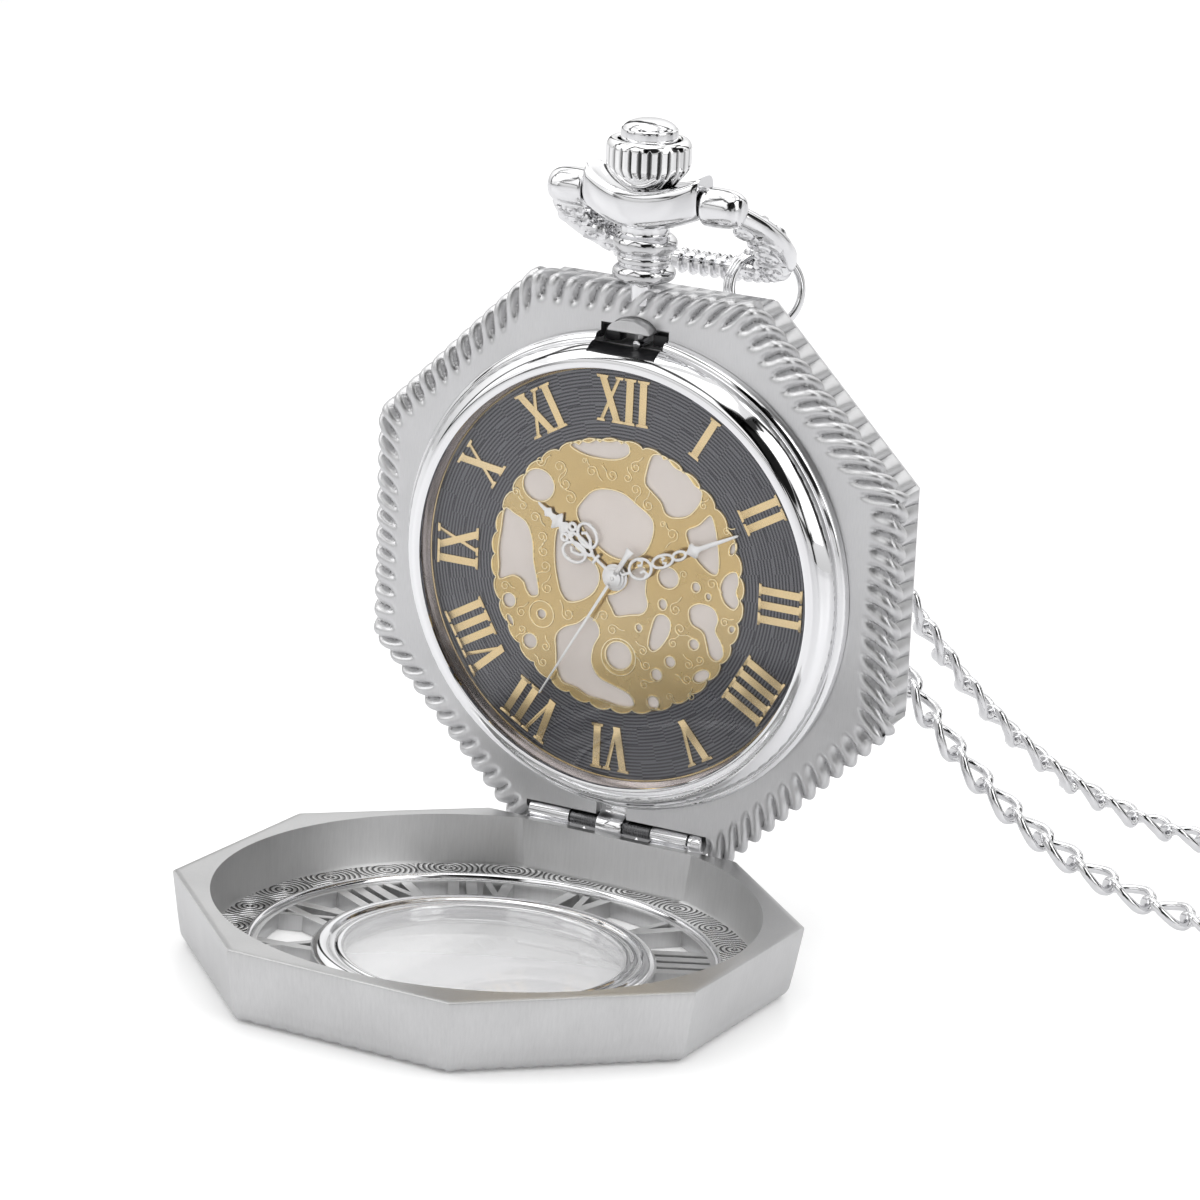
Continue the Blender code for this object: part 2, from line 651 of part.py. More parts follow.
def motion_work():
    """The minute wheel, the setting wheel that the clutch reaches, and the hour wheel on its pipe."""
    hours = frame("hours_axis", CASE)
    minute = frame("minute_wheel_axis", CASE, (*MINUTE_PLACE, 0))
    setting = frame("setting_wheel_axis", CASE, (*SETTING_PLACE, 0))
    module_mh = 2 * MINUTE_DISTANCE / (MINUTE_LEAVES + HOUR_TEETH)
    centre = (0.0, 0.0)
    wheel_at = meshing(CANNON_LEAVES, centre, 0, MINUTE_TEETH, MINUTE_PLACE)
    hour_at = meshing(MINUTE_LEAVES, MINUTE_PLACE, 0, HOUR_TEETH, centre)
    setting_at = meshing(MINUTE_TEETH, MINUTE_PLACE, wheel_at, SETTING_TEETH, SETTING_PLACE)
    wheel_and_pinion(
        "minute_wheel",
        minute,
        BRASS,
        (gear(MINUTE_TEETH, MINUTE_MODULE, wheel_at), 0.22, 0.42),
        (gear(MINUTE_LEAVES, module_mh, 0), 0.4, 0.86),
        (MOTION_RADIUS, -0.25, 0.9),
    )
    wheel_and_pinion(
        "setting_wheel",
        setting,
        BRASS,
        (gear(SETTING_TEETH, MINUTE_MODULE, setting_at), 0.22, 0.42),
        None,
        (MOTION_RADIUS, -0.25, 0.6),
    )
    bore = circle(HOUR_BORE, SMALL)
    hour_wheel = plate("hour_wheel", [gear(HOUR_TEETH, module_mh, hour_at), bore], 0.62, 0.8, hours, BRASS)
    fuse(hour_wheel, plate("hour_pipe", [circle(HOUR_PIPE_RADIUS, SMALL), bore], 0.7, 1.86, hours, BRASS))


def hands():
    """Flat hands, drawn pointing to 12 and turned to the time."""
    seconds = bpy.data.objects["seconds_axis"]
    minutes = bpy.data.objects["minutes_axis"]
    hours = bpy.data.objects["hours_axis"]
    half_hour = [(0.16, 1.0), (0.2, 2.3), (1.15, 3.4), (1.1, 4.6), (0.3, 5.6), (0.55, 6.4), (0.14, 7.2)]
    half_minute = [(0.15, 1.0), (0.2, 3.4), (1.1, 4.4), (1.15, 5.8), (0.3, 7.0), (0.5, 8.4), (0.12, 9.4)]
    outline = [hand_outline(half_hour, 9.05, 1.15), circle(HOUR_PIPE_RADIUS + 0.02, SMALL)]
    plate("hour_hand", outline, 1.72, 1.84, hours, SILVER, rotation=-HOUR_ANGLE)
    outline = [hand_outline(half_minute, 12.5, 0.95), circle(CANNON_RADIUS + 0.02, SMALL)]
    plate("minute_hand", outline, 1.95, 2.06, minutes, SILVER, rotation=-MINUTE_ANGLE)
    blade = [(0.09, 0.6), (0.05, 12.9), (-0.05, 12.9), (-0.09, 0.6)]
    tail = [(-0.12, -0.6), (-0.16, -3.1), (0.16, -3.1), (0.12, -0.6)]
    left, right = [(-0.45, 0.4), (-0.6, 0), (-0.45, -0.4)], [(0.45, -0.4), (0.6, 0), (0.45, 0.4)]
    outline = [blade + left + tail + right, circle(ARBOR_RADIUS + 0.02, SMALL)]
    plate("second_hand", outline, 2.17, 2.26, seconds, SILVER, rotation=-SECOND_ANGLE)


def hand_outline(half, tip, hub):
    """The right half of a hand from hub to tip, mirrored, with a round hub."""
    right = list(reversed(half))
    left = [(-x, y) for x, y in half]
    return [(0, tip)] + right + arc(hub, 60, -240, 11) + left


def keyless_work():
    """The parts that the crown works: clutch, stem, crown, push button, setting lever and yoke."""
    clutch = frame("crown_axis", CASE, (0, 0, -STEM_DEPTH))
    along = (-90, 0, 0)
    pinion = [(0.62, 9.0), (0.95, 9.0), (0.95, 8.5), (0.7, 8.4)]
    pinion += [(0.7, 7.8), (0.95, 7.7), (0.95, 7.2), (0.62, 7.2)]
    turned("sliding_pinion", pinion, clutch, STEEL, SMALL, rotation=along, closed=True)
    pull = frame("crown_pull", clutch)
    stem = [(0, 33.2), (0.55, 33.2), (0.55, 13.0), (0.3, 12.8), (0.3, 12.2)]
    stem += [(0.55, 12.0), (0.55, 6.6), (0.2, 6.4), (0.2, 5.9), (0, 5.9)]
    turned("winding_stem", stem, pull, STEEL, SMALL, rotation=along)
    crown()
    button = frame("button_slide", pull)
    cap = [(0, BUTTON_TOP), (1.2, BUTTON_TOP - 0.08), (2.0, BUTTON_TOP - 0.4)]
    cap += [(BUTTON_RADIUS, BUTTON_TOP - 0.9), (BUTTON_RADIUS, 35.6), (0.5, 35.6), (0.5, 34.4), (0, 34.4)]
    turned("push_button", cap, button, POLISHED, MEDIUM, rotation=along)

    lever = frame("setting_lever_axis", CASE, (2.6, 11.4, 0))
    arm = [(0.5, -0.7), (0.7, 0.4), (-0.2, 0.8), (-2.4, 1.3), (-2.5, 0.9), (-0.6, -0.2), (-0.4, -0.9)]
    plate("setting_lever", [arm, circle(0.22, 8)], -2.15, -1.9, lever, STEEL)
    yoke = frame("yoke_axis", CASE, (-3.8, 9.6, 0))
    arm = [(-0.5, -0.5), (0.4, -0.6), (3.2, -1.7), (3.3, -1.3), (0.7, 0.3), (0.3, 0.7), (-0.5, 0.5)]
    plate("yoke", [arm, circle(0.22, 8)], -2.55, -2.3, yoke, STEEL)


def crown():
    """Fluted crown, hollow for the push button and bored for the stem."""
    pull = bpy.data.objects["crown_pull"]
    along = (-90, 0, 0)
    profile = [
        (2.5, CROWN_TOP),
        (3.15, CROWN_TOP),
        (CROWN_RADIUS, CROWN_TOP - 0.5),
        (CROWN_RADIUS, CROWN_TOP - 2.1),
        (2.9, 33.2),
        (2.3, CROWN_FOOT),
        (0.6, CROWN_FOOT),
        (0.6, 34.0),
        (2.5, 34.0),
    ]
    turned("crown", profile, pull, POLISHED, FLUTES, rotation=along, closed=True)


def pendant():
    """Neck with two beads and a boat-shaped cup that carries the bow."""
    along = (-90, 0, 0)
    neck = [
        (0.75, 29.6),
        (2.4, 29.6),
        (1.95, 29.1),
        (1.95, 28.5),
        (2.4, 28.35),
        (2.66, 27.8),
        (2.5, 27.1),
        (2.1, 26.8),
        (2.25, 26.4),
        (2.1, 26.0),
        (2.5, 25.8),
        (2.62, 25.2),
        (2.3, 24.6),
        (1.5, 24.4),
        (1.1, 24.3),
        (1.1, 22.4),
        (0.75, 22.4),
    ]
    neck = turned("pendant", neck, CASE, POLISHED, MEDIUM, (0, 0, -STEM_DEPTH), along, closed=True)
    bowl = [(0.75, 30.0), (1.6, 30.1), (3.2, 31.0), (4.1, 32.2), (4.45, 34.2), (5.15, 34.2)]
    bowl += [(5.05, 32.0), (4.2, 30.3), (2.9, 29.3), (1.9, 29.0), (0.75, 29.0)]
    bowl = turned("pendant_cup", bowl, CASE, POLISHED, MEDIUM, (0, 0, -STEM_DEPTH), along, closed=True)
    bowl.scale = (1, 0.8, 1)
    for side, z in (("front", 1.0), ("rear", -1.0)):
        scoop = rod(f"cup_{side}_cutter", 4.3, (-8, 35.6, z * 4.6), (8, 35.6, z * 4.6), CASE, None, MEDIUM)
        scoop.location.z -= STEM_DEPTH * MM
        cut(bowl, scoop)
    fuse(neck, bowl)
    for sign in (-1, 1):
        ends = (sign * 3, BOW_PIVOT, -STEM_DEPTH), (sign * 7, BOW_PIVOT, -STEM_DEPTH)
        cut(neck, rod(f"pin_hole_cutter_{sign + 2}", 0.6, *ends, CASE))


def bow():
    """The bow and its two pivot pins. The bow's plane contains the pivot axis and hangs behind the case."""
    pivot = frame("bow_axis", CASE, (0, BOW_PIVOT, -STEM_DEPTH), (-90 - BOW_DROOP, 0, 0))
    shape = wire("bow", bow_path(), BOW_WIRE, pivot, POLISHED)
    knobs = []
    for sign in (-1, 1):
        profile = [(0, -2.4), (0.65, -2.4), (0.65, 0), (1.45, 0), (KNOB_RADIUS, -0.2)]
        profile += [(KNOB_RADIUS, -2.2), (1.35, -3.1), (0.7, -3.5), (0, -3.5)]
        place, facing = (sign * KNOB_INNER, 0, 0), (0, -90 * sign, 0)
        knobs.append(turned(f"knob_{sign + 2}", profile, pivot, POLISHED, 16, place, facing))
    fuse(shape, *knobs)
    for name, sign in (("left", -1), ("right", 1)):
        ends = (sign * 3.9, BOW_PIVOT, -STEM_DEPTH), (sign * 7.5, BOW_PIVOT, -STEM_DEPTH)
        rod(f"bow_pin_{name}", 0.55, *ends, CASE, STEEL)


def bow_path():
    """Centre line of the bow in its own frame: x across, y away from the pivot."""
    half = [(7.9, 0.7), (8.9, 2.4), (9.5, 4.8), (9.5, 7.4), (8.9, 9.8), (7.6, 11.8), (5.2, 13.1), (2.6, 13.6)]
    right = [(x, y, 0) for x, y in half]
    left = [(-x, y, 0) for x, y in reversed(half)]
    return right + [(0, 13.7, 0)] + left


# ---------------------------------------------------------------- lid and hinge


def lid():
    """The lid's hollow shell with its twelve windows and two knuckles, its lens and the ring round that."""
    profile = [(0, 0), (23.5, 0), (22.75, -5.3), (22.2, -LID_HEIGHT), (0, -LID_HEIGHT)]
    shell = octagonal("lid_shell", profile, LID)
    chord = 20.6  # the round cavity is flat on the hinge's side
    cavity = rod("lid_cavity_cutter", 21.0, (0, 0, -4.3), (0, 0, 1), LID, None, ROUND, 22.23)
    work = bmesh.new()
    work.from_mesh(cavity.data)
    whole = work.verts[:] + work.edges[:] + work.faces[:]
    plane = {"plane_co": (0, chord * MM, 0), "plane_no": (0, 1, 0)}
    sliced = bmesh.ops.bisect_plane(work, geom=whole, clear_outer=True, **plane)
    rim = [edge for edge in sliced["geom_cut"] if isinstance(edge, bmesh.types.BMEdge)]
    bmesh.ops.contextual_create(work, geom=rim)
    bmesh.ops.recalc_face_normals(work, faces=work.faces)
    work.to_mesh(cavity.data)
    work.free()
    windows = []
    for hour in range(12):
        middle, half = 15 + 30 * hour, 9
        outline = arc(18.9, middle - half, middle + half, 3) + arc(14.7, middle + half, middle - half, 3)
        windows.append(plate(f"lid_window_cutter_{hour}", [outline], -8, -3.9, LID))
    cut(
        shell,
        cavity,
        box("lid_hinge_side_cutter", (-14, 21.35, -8), (14, 27, 1), LID),
        rod("lens_seat_cutter", LENS_RADIUS + 0.1, (0, 0, -5.3), (0, 0, -3.8), LID, None, ROUND),
        rod("lens_hole_cutter", 11.2, (0, 0, -8.5), (0, 0, -3.7), LID, None, ROUND),
        *windows,
        solver="MANIFOLD",
    )
    y, z = HINGE_OFFSET, RIM_DROP
    parts = []
    for number, (low, high) in enumerate((LEFT_KNUCKLE, RIGHT_KNUCKLE), 1):
        ends = (low, y, z), (high, y, z)
        parts.append(rod(f"lid_knuckle_{number}", KNUCKLE_RADIUS, *ends, LID, STEEL, MEDIUM))
        parts.append(box(f"lid_leaf_{number}", (low, 21.0, -0.75), (high, y - 0.2, -0.02), LID, STEEL))
    fuse(shell, *parts, solver="MANIFOLD")
    cut(shell, rod("lid_knuckle_bore_cutter", PIN_BORE, (-9, y, z), (9, y, z), LID), solver="MANIFOLD")
    low, high, rise = -5.22, -4.4, 0.5
    shares = (0.0, 0.4, 0.7, 0.9, 1.0)
    top = [(LENS_RADIUS * s, high + rise * (1 - s * s)) for s in shares]
    bottom = [(LENS_RADIUS, low), (11.1, low), (11.0, low - 0.05), (7.0, low - 0.5), (0, low - 0.75)]
    turned("lid_lens", top + bottom, LID, GLASS, ROUND)
    ring = [(11.4, -3.95), (12.6, -3.75), (13.7, -4.0), (13.9, -4.26), (12.1, -4.26), (11.4, -4.1)]
    turned("lens_ring", ring, LID, POLISHED, ROUND, closed=True)


def hinge():
    """The hinge pin with its head, and the curled spring that lifts the lid."""
    y, z = -HINGE_OFFSET, -FACE_FORWARD
    pin = rod("hinge_pin", PIN_RADIUS, (-8.0, y, z), (7.2, y, z), CASE, STEEL)
    head = rod("hinge_pin_head", 0.8, (6.95, y, z), (8.3, y, z), CASE, STEEL, MEDIUM)
    fuse(pin, head)
    strip = [
        (-20.65, -0.55),
        (-21.4, -0.5),
        (-21.75, 0.3),
        (-22.5, 0.52),
        (-23.1, 0.35),
        (-23.35, -0.15),
        (-23.15, -0.2),
        (-22.95, 0.12),
        (-22.5, 0.27),
        (-21.95, 0.1),
        (-21.62, -0.6),
    ]
    lift = plate("lift_spring", [[(-z, y) for y, z in strip]], -1.2, 1.2, CASE, POLISHED)
    lift.rotation_euler = (0, math.radians(90), 0)
    lift.location = Vector((-0.33, 0, 0)) * MM


# ---------------------------------------------------------------- ring and chain


def ring_frame():
    """World place and turn of the jump ring, which hangs on the bow's right-hand corner and faces forward."""
    bpy.context.view_layer.update()
    path = [Vector(point) for point in bow_path()]
    corner, beyond = path[5], path[6]
    to_world = bpy.data.objects["bow_axis"].matrix_world
    place = to_world @ (corner.lerp(beyond, 0.7) * MM)
    bar = (to_world.to_3x3() @ (corner - beyond)).normalized()
    normal = (bar + Vector(RING_FACING)).normalized()
    down = (Vector((0, 0, -1)) - normal * normal.dot(Vector((0, 0, -1)))).normalized()
    return place, normal, down


def jump_ring():
    place, normal, down = ring_frame()
    centre = place + down * (RING_RADIUS - RING_WIRE - BOW_WIRE - RING_SLACK) * MM
    side = down.cross(normal)
    turn = Matrix((side, down, normal)).transposed()
    loop = [(*point, 0) for point in circle(RING_RADIUS, MEDIUM)]
    made = wire("jump_ring", loop, RING_WIRE, None, POLISHED, True, 1)
    made.matrix_world = Matrix.LocRotScale(centre, turn, None)
    return centre, side, down


def strand_point(x, start, strand):
    """The strand's curve, level where it meets the table, at this distance to the right."""
    reach = start.x + (start.z - CHAIN_REST) ** 0.25 / strand["fall"]
    height = CHAIN_REST + (strand["fall"] * (reach - x)) ** 4
    run = x - start.x
    return Vector((x, start.y + strand["heading"] * run + SET_BACK * (1 - math.exp(-run / SET_BACK)), height))


def next_contact(here, length, start, strand):
    """The point of the strand's curve at this chord length from here, found by halving."""
    low, high = here.x, here.x + length
    for _ in range(40):
        middle = (low + high) / 2
        if (strand_point(middle, start, strand) - here).length < length:
            low = middle
        else:
            high = middle
    return strand_point(low, start, strand)


def link_points(here, there, overhang, strand):
    """Centre line of one twisted link between two contacts: its ends stand at right angles to each other."""
    along = (there - here).normalized()
    across = Vector((-strand["heading"], 1, 0)).normalized()
    other = along.cross(across)
    centre = here + along * (LINK_HALF_LENGTH - overhang)
    points = []
    for i in range(LINK_CORNERS):
        a = 2 * math.pi * i / LINK_CORNERS
        twist = math.radians(45) * math.cos(a)
        width = across * math.cos(twist) + other * math.sin(twist)
        points.append(centre + along * LINK_HALF_LENGTH * math.cos(a) + width * LINK_HALF_WIDTH * math.sin(a))
    return points


def chain(centre, side, down):
    """Each strand in segments of fused links. Segments hinge at the contact between two links."""
    for name, strand in STRANDS.items():
        tilt = math.radians(strand["splay"])
        outward = down * math.cos(tilt) + side * math.sin(tilt)
        here = (centre / MM) + outward * (RING_RADIUS - RING_WIRE - RING_PLAY)
        start = here.copy()
        for number, count in enumerate(LINKS_PER_SEGMENT, 1):
            links = []
            for i in range(count):
                first = HINGED_OVERHANG if i == 0 else JOINED_OVERHANG
                last = HINGED_OVERHANG if i == count - 1 else JOINED_OVERHANG
                there = next_contact(here, 2 * LINK_HALF_LENGTH - first - last, start, strand)
                label = f"chain_{name}_{number}" if i == 0 else f"link_{name}_{number}_{i}"
                points = link_points(here, there, first, strand)
                links.append(wire(label, points, LINK_WIRE, None, POLISHED, True, 0))
                here = there
            fuse(*links)


def finish_pieces():
    """Applies each piece's modifiers, and shades its round faces smooth up to the sharp edges."""
    for piece in PIECES.objects:
        if piece.type != "MESH":
            continue
        piece.data = evaluated_mesh(piece)
        piece.modifiers.clear()
        piece.data.shade_smooth()
        piece.data.set_sharp_from_angle(angle=SHARP_ANGLE)


clear_scene()
PIECES = new_collection("pocket_watch")
CUTTERS = new_collection("cutters", hidden=True)

STEEL = material("satin_steel", (0.74, 0.74, 0.75), 0.32, 1.0)
POLISHED = material("polished_steel", (0.88, 0.88, 0.89), 0.08, 1.0)
SILVER = material("silver_hands", (0.90, 0.90, 0.92), 0.2, 1.0)
GLASS = material("mineral_glass", (0.95, 0.97, 0.98), 0.02, 0.0, 0.25)
GOLD = material("gold_plate", (0.85, 0.63, 0.28), 0.25, 1.0)
DIAL = material("gunmetal_dial", (0.13, 0.13, 0.15), 0.35, 0.6)
CREAM = material("cream_plate", (0.86, 0.80, 0.74), 0.4, 0.2)
CHAMPAGNE = material("champagne_ring", (0.80, 0.70, 0.62), 0.3, 0.7)
NYLON = material("white_nylon", (0.88, 0.88, 0.86), 0.5, 0.0)
BRASS = material("brass", (0.78, 0.62, 0.33), 0.3, 1.0)
COPPER = material("copper_winding", (0.72, 0.36, 0.22), 0.35, 1.0)
BOARD = material("circuit_board", (0.06, 0.28, 0.14), 0.5, 0.0)

HINGE = frame("hinge_axis", None, (0, HINGE_BEHIND, HINGE_HEIGHT))
UPRIGHT = frame("case_tilt", HINGE, rotation=(90 + CASE_LEAN, 0, 0))
CASE = frame("case_frame", UPRIGHT, (0, HINGE_OFFSET, FACE_FORWARD))
LID = frame("lid_frame", HINGE, (0, -HINGE_OFFSET, -RIM_DROP))

LATCH_RECESS, CATCH_POCKET = latch_cutters()
middle_case()
back_cover()
bezel()
crystal()
dial()
catch()
movement_frame_parts()
motor()
going_train()
motion_work()
hands()
keyless_work()
pendant()
bow()
lid()
hinge()
chain(*jump_ring())
finish_pieces()
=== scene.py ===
"""Looks of the octagonal half-hunter pocket watch: its visible pieces and finishes, the studio and camera."""

import json
import math
from contextlib import contextmanager

import bmesh
import bpy
import numpy as np
from mathutils import Matrix, Vector


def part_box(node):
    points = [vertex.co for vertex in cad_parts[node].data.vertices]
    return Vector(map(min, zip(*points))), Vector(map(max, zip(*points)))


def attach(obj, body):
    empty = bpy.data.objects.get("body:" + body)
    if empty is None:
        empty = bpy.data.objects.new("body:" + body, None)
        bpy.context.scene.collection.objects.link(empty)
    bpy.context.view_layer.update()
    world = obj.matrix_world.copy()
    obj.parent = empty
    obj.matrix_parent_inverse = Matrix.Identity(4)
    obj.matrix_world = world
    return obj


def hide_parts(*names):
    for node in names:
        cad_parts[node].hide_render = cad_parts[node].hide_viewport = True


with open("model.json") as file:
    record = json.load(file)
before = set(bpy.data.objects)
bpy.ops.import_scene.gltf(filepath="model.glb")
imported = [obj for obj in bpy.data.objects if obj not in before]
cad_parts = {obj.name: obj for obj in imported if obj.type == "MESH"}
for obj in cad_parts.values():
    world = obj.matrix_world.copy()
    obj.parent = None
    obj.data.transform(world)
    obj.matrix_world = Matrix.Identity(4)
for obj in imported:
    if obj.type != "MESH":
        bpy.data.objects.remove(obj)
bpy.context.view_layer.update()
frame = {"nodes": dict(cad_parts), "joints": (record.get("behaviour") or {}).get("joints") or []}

# Sizes that several pieces share, in millimetres. Heights are above the case's front face, or the lid's rim
MM = 0.001
SIDES = 8
HALF_SIDE = math.tan(math.pi / SIDES)
FLUTES_PER_SIDE = 12
POINTS_PER_FLUTE = 12
ROPE_SLANT = 0.30
STEM_DEPTH = 1.2
HINGE_REACH = 22.45
HINGE_DEPTH = 0.45
LID_HINGE_RISE = 0.5
LID_FLOOR = -4.3
LID_FACE = -6.05
RIM_ABOVE_RING = 3.75
DIAL_FLOOR = 1.0
DIAL_TOP = 1.40
DISC_TOP = 1.53
# Radius of a turned shape where it closes on its axis
AXIS = 0.001


# ---------- frames of reference


def placed(origin, x, y, z):
    return Matrix.Translation(origin) @ Matrix((x, y, z)).transposed().to_4x4()


JOINTS = {joint["name"]: joint for joint in frame["joints"]}


def joint_place(name):
    return Vector(JOINTS[name]["pos_m"])


RIGHT = Vector((1, 0, 0))
FORWARD = -Vector(JOINTS["second_hand_turn"]["axis"]).normalized()
CASE = placed(joint_place("second_hand_turn"), RIGHT, FORWARD.cross(RIGHT), FORWARD)
RING_LOW, RING_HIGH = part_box("lens_ring")
LID = Matrix.Translation((0, (RING_LOW.y + RING_HIGH.y) / 2, RING_HIGH.z + RIM_ABOVE_RING * MM))
BOW_PIVOT = joint_place("bow_swing")
BOW_REACH = joint_place("ring_swing") - BOW_PIVOT
BOW_REACH.x = 0
BOW_REACH.normalize()
BOW = placed(BOW_PIVOT, RIGHT, BOW_REACH, RIGHT.cross(BOW_REACH))


# ---------- shader building


class Nodes:
    """A node tree, built from short calls. An input takes a socket, a node or a plain value."""

    def __init__(self, tree):
        self.tree = tree

    def put(self, socket, value):
        if isinstance(value, bpy.types.Node):
            value = value.outputs[0]
        if isinstance(value, bpy.types.NodeSocket):
            self.tree.links.new(value, socket)
        else:
            socket.default_value = value

    def node(self, kind, values=None, **settings):
        made = self.tree.nodes.new("ShaderNode" + kind)
        for key, value in settings.items():
            setattr(made, key, value)
        for key, value in (values or {}).items():
            self.put(made.inputs[key], value)
        return made

    def math(self, operation, *values):
        return self.node("Math", dict(enumerate(values)), operation=operation).outputs[0]


class Shader(Nodes):
    """A material's node tree."""

    def __init__(self, name):
        self.material = bpy.data.materials.new(name)
        self.material.use_nodes = True
        super().__init__(self.material.node_tree)
        self.principled = self.tree.nodes["Principled BSDF"]

    def set(self, **values):
        for key, value in values.items():
            self.put(self.principled.inputs[key.replace("_", " ")], value)

    def ramp(self, factor, *stops):
        made = self.node("ValToRGB", {0: factor})
        elements = made.color_ramp.elements
        while len(elements) < len(stops):
            elements.new(0.5)
        for element, (position, colour) in zip(elements, stops):
            element.position = position
            element.color = (*colour, 1) if isinstance(colour, tuple) else (colour, colour, colour, 1)
        return made.outputs[0]

    def coordinates(self):
        return self.node("TexCoord").outputs["Object"]

    def noise(self, scale, detail=3.0, stretch=(1, 1, 1), roughness=0.5):
        where = self.node("Mapping", {"Vector": self.coordinates(), "Scale": stretch})
        values = {"Vector": where, "Scale": scale, "Detail": detail, "Roughness": roughness}
        return self.node("TexNoise", values)

    def bump(self, height, strength, distance):
        """Raised detail: distance is in millimetres."""
        values = {"Height": height, "Strength": strength, "Distance": distance * MM}
        self.set(Normal=self.node("Bump", values))

    def polar(self):
        """Distance from the object's Z axis, and the angle round it."""
        x, y, _ = self.node("SeparateXYZ", {"Vector": self.coordinates()}).outputs
        square = self.math("ADD", self.math("MULTIPLY", x, x), self.math("MULTIPLY", y, y))
        return self.math("SQRT", square), self.math("ARCTAN2", y, x)


def scaled(colour, share):
    return tuple(min(1.0, channel * share) for channel in colour)


def polished(name, colour=(0.86, 0.86, 0.87), roughness=0.05, painted_groove_shade=0.5):
    """Bright plated metal: fine haze, a few hairlines, and painted shade that darkens its concave grooves."""
    shader = Shader(name)
    haze = shader.noise(900, 4)
    shader.set(Metallic=1.0, Roughness=shader.ramp(haze, (0.3, roughness), (0.75, roughness + 0.07)))
    pointed = shader.node("NewGeometry").outputs["Pointiness"]
    shader.set(Base_Color=shader.ramp(pointed, (0.46, scaled(colour, 1 - painted_groove_shade)), (0.50, colour)))
    shader.bump(shader.noise(350, 2, (1, 12, 1)), 0.02, 0.02)
    return shader.material


def satin(name, colour=(0.67, 0.67, 0.675), roughness=0.34, stretch=(14, 1, 1), strength=0.22, drift=0.07):
    """Brushed metal: fine lines one way, faint blotches, a few pits."""
    shader = Shader(name)
    lines = shader.noise(900, 4, stretch, 0.7)
    blotch = shader.noise(160, 3)
    streaks = shader.math("MULTIPLY_ADD", lines, 0.5, shader.math("MULTIPLY", blotch, 0.5))
    tone = shader.ramp(streaks, (0.35, scaled(colour, 1 - drift)), (0.65, scaled(colour, 1 + drift)))
    shader.set(Metallic=1.0, Base_Color=tone)
    shader.set(Roughness=shader.ramp(lines, (0.25, roughness - 0.06), (0.75, roughness + 0.08)))
    pits = shader.node("TexVoronoi", {"Vector": shader.coordinates(), "Scale": 1400})
    pitted = shader.math("MULTIPLY_ADD", shader.math("LESS_THAN", pits, 0.08), -1.6, lines)
    shader.bump(pitted, strength, 0.02)
    return shader.material


def gilt(name, colour=(0.80, 0.60, 0.30), roughness=0.24):
    """Gold plate: a slow drift of tone, faint rubbing and a soft, uneven gloss."""
    shader = Shader(name)
    warm = (colour[0] * 0.94, colour[1] * 0.90, colour[2] * 0.80)
    shader.set(Metallic=1.0, Base_Color=shader.ramp(shader.noise(70, 2), (0.35, warm), (0.65, colour)))
    rubbed = shader.noise(420, 2)
    shader.set(Roughness=shader.ramp(rubbed, (0.3, roughness - 0.05), (0.7, roughness + 0.05)))
    shader.bump(shader.noise(600, 2), 0.05, 0.01)
    return shader.material


def enamel(name, colour, roughness=0.4, metallic=0.0, grain=1500):
    """Painted, moulded or printed matter: soft grain and slight colour drift."""
    shader = Shader(name)
    tone = shader.ramp(shader.noise(200, 2), (0.3, scaled(colour, 0.93)), (0.7, colour))
    shader.set(Base_Color=tone, Metallic=metallic)
    grained = shader.noise(grain, 3)
    shader.set(Roughness=shader.ramp(grained, (0.3, roughness - 0.08), (0.7, roughness + 0.08)))
    shader.bump(grained, 0.1, 0.02)
    return shader.material


def engine_turned_dial(block=1.45, sectors=34, pitch=0.29):
    """Gunmetal with fine rings, woven like a basket: each block's lines are shifted from the next block's."""
    shader = Shader("gunmetal_dial")
    radius, angle = shader.polar()
    row = shader.math("FLOOR", shader.math("DIVIDE", radius, block * MM))
    column = shader.math("MULTIPLY", angle, sectors / (2 * math.pi))
    shifted = shader.math("MULTIPLY_ADD", row, 0.5, column)
    parity = shader.math("FLOORED_MODULO", shader.math("FLOOR", shifted), 2.0)
    rings = shader.math("MULTIPLY_ADD", parity, 0.5, shader.math("DIVIDE", radius, pitch * MM))
    groove = shader.math("SINE", shader.math("MULTIPLY", rings, 2 * math.pi))
    level = shader.math("MULTIPLY_ADD", groove, 0.5, 0.5)
    tone = shader.ramp(level, (0.2, (0.045, 0.046, 0.054)), (0.8, (0.165, 0.166, 0.185)))
    shader.set(Base_Color=tone, Metallic=0.5, Roughness=0.33)
    shader.bump(groove, 0.16, 0.02)
    return shader.material


def bullseye_turned(count=24, middle=20.55, pitch=0.46):
    """Satin metal with rows of wavy rings round a chain of centres, as a rose engine cuts them."""
    shader = Shader("bullseye_turning")
    radius, angle = shader.polar()
    turn = shader.math("MULTIPLY", angle, count / (2 * math.pi))
    across = shader.math("SUBTRACT", shader.math("FRACT", turn), 0.5)
    sideways = shader.math("MULTIPLY", across, 2 * math.pi * middle * MM / count)
    outward = shader.math("SUBTRACT", radius, middle * MM)
    square = shader.math("MULTIPLY_ADD", sideways, sideways, shader.math("MULTIPLY", outward, outward))
    wobble = shader.math("MULTIPLY", shader.noise(420, 1), 0.5)
    rings = shader.math("ADD", shader.math("DIVIDE", shader.math("SQRT", square), pitch * MM), wobble)
    groove = shader.math("SINE", shader.math("MULTIPLY", rings, 2 * math.pi))
    level = shader.math("MULTIPLY_ADD", groove, 0.5, 0.5)
    shader.set(Metallic=1.0, Roughness=0.2, Base_Color=shader.ramp(level, (0.2, 0.03), (0.55, 0.86)))
    shader.bump(groove, 0.9, 0.05)
    return shader.material


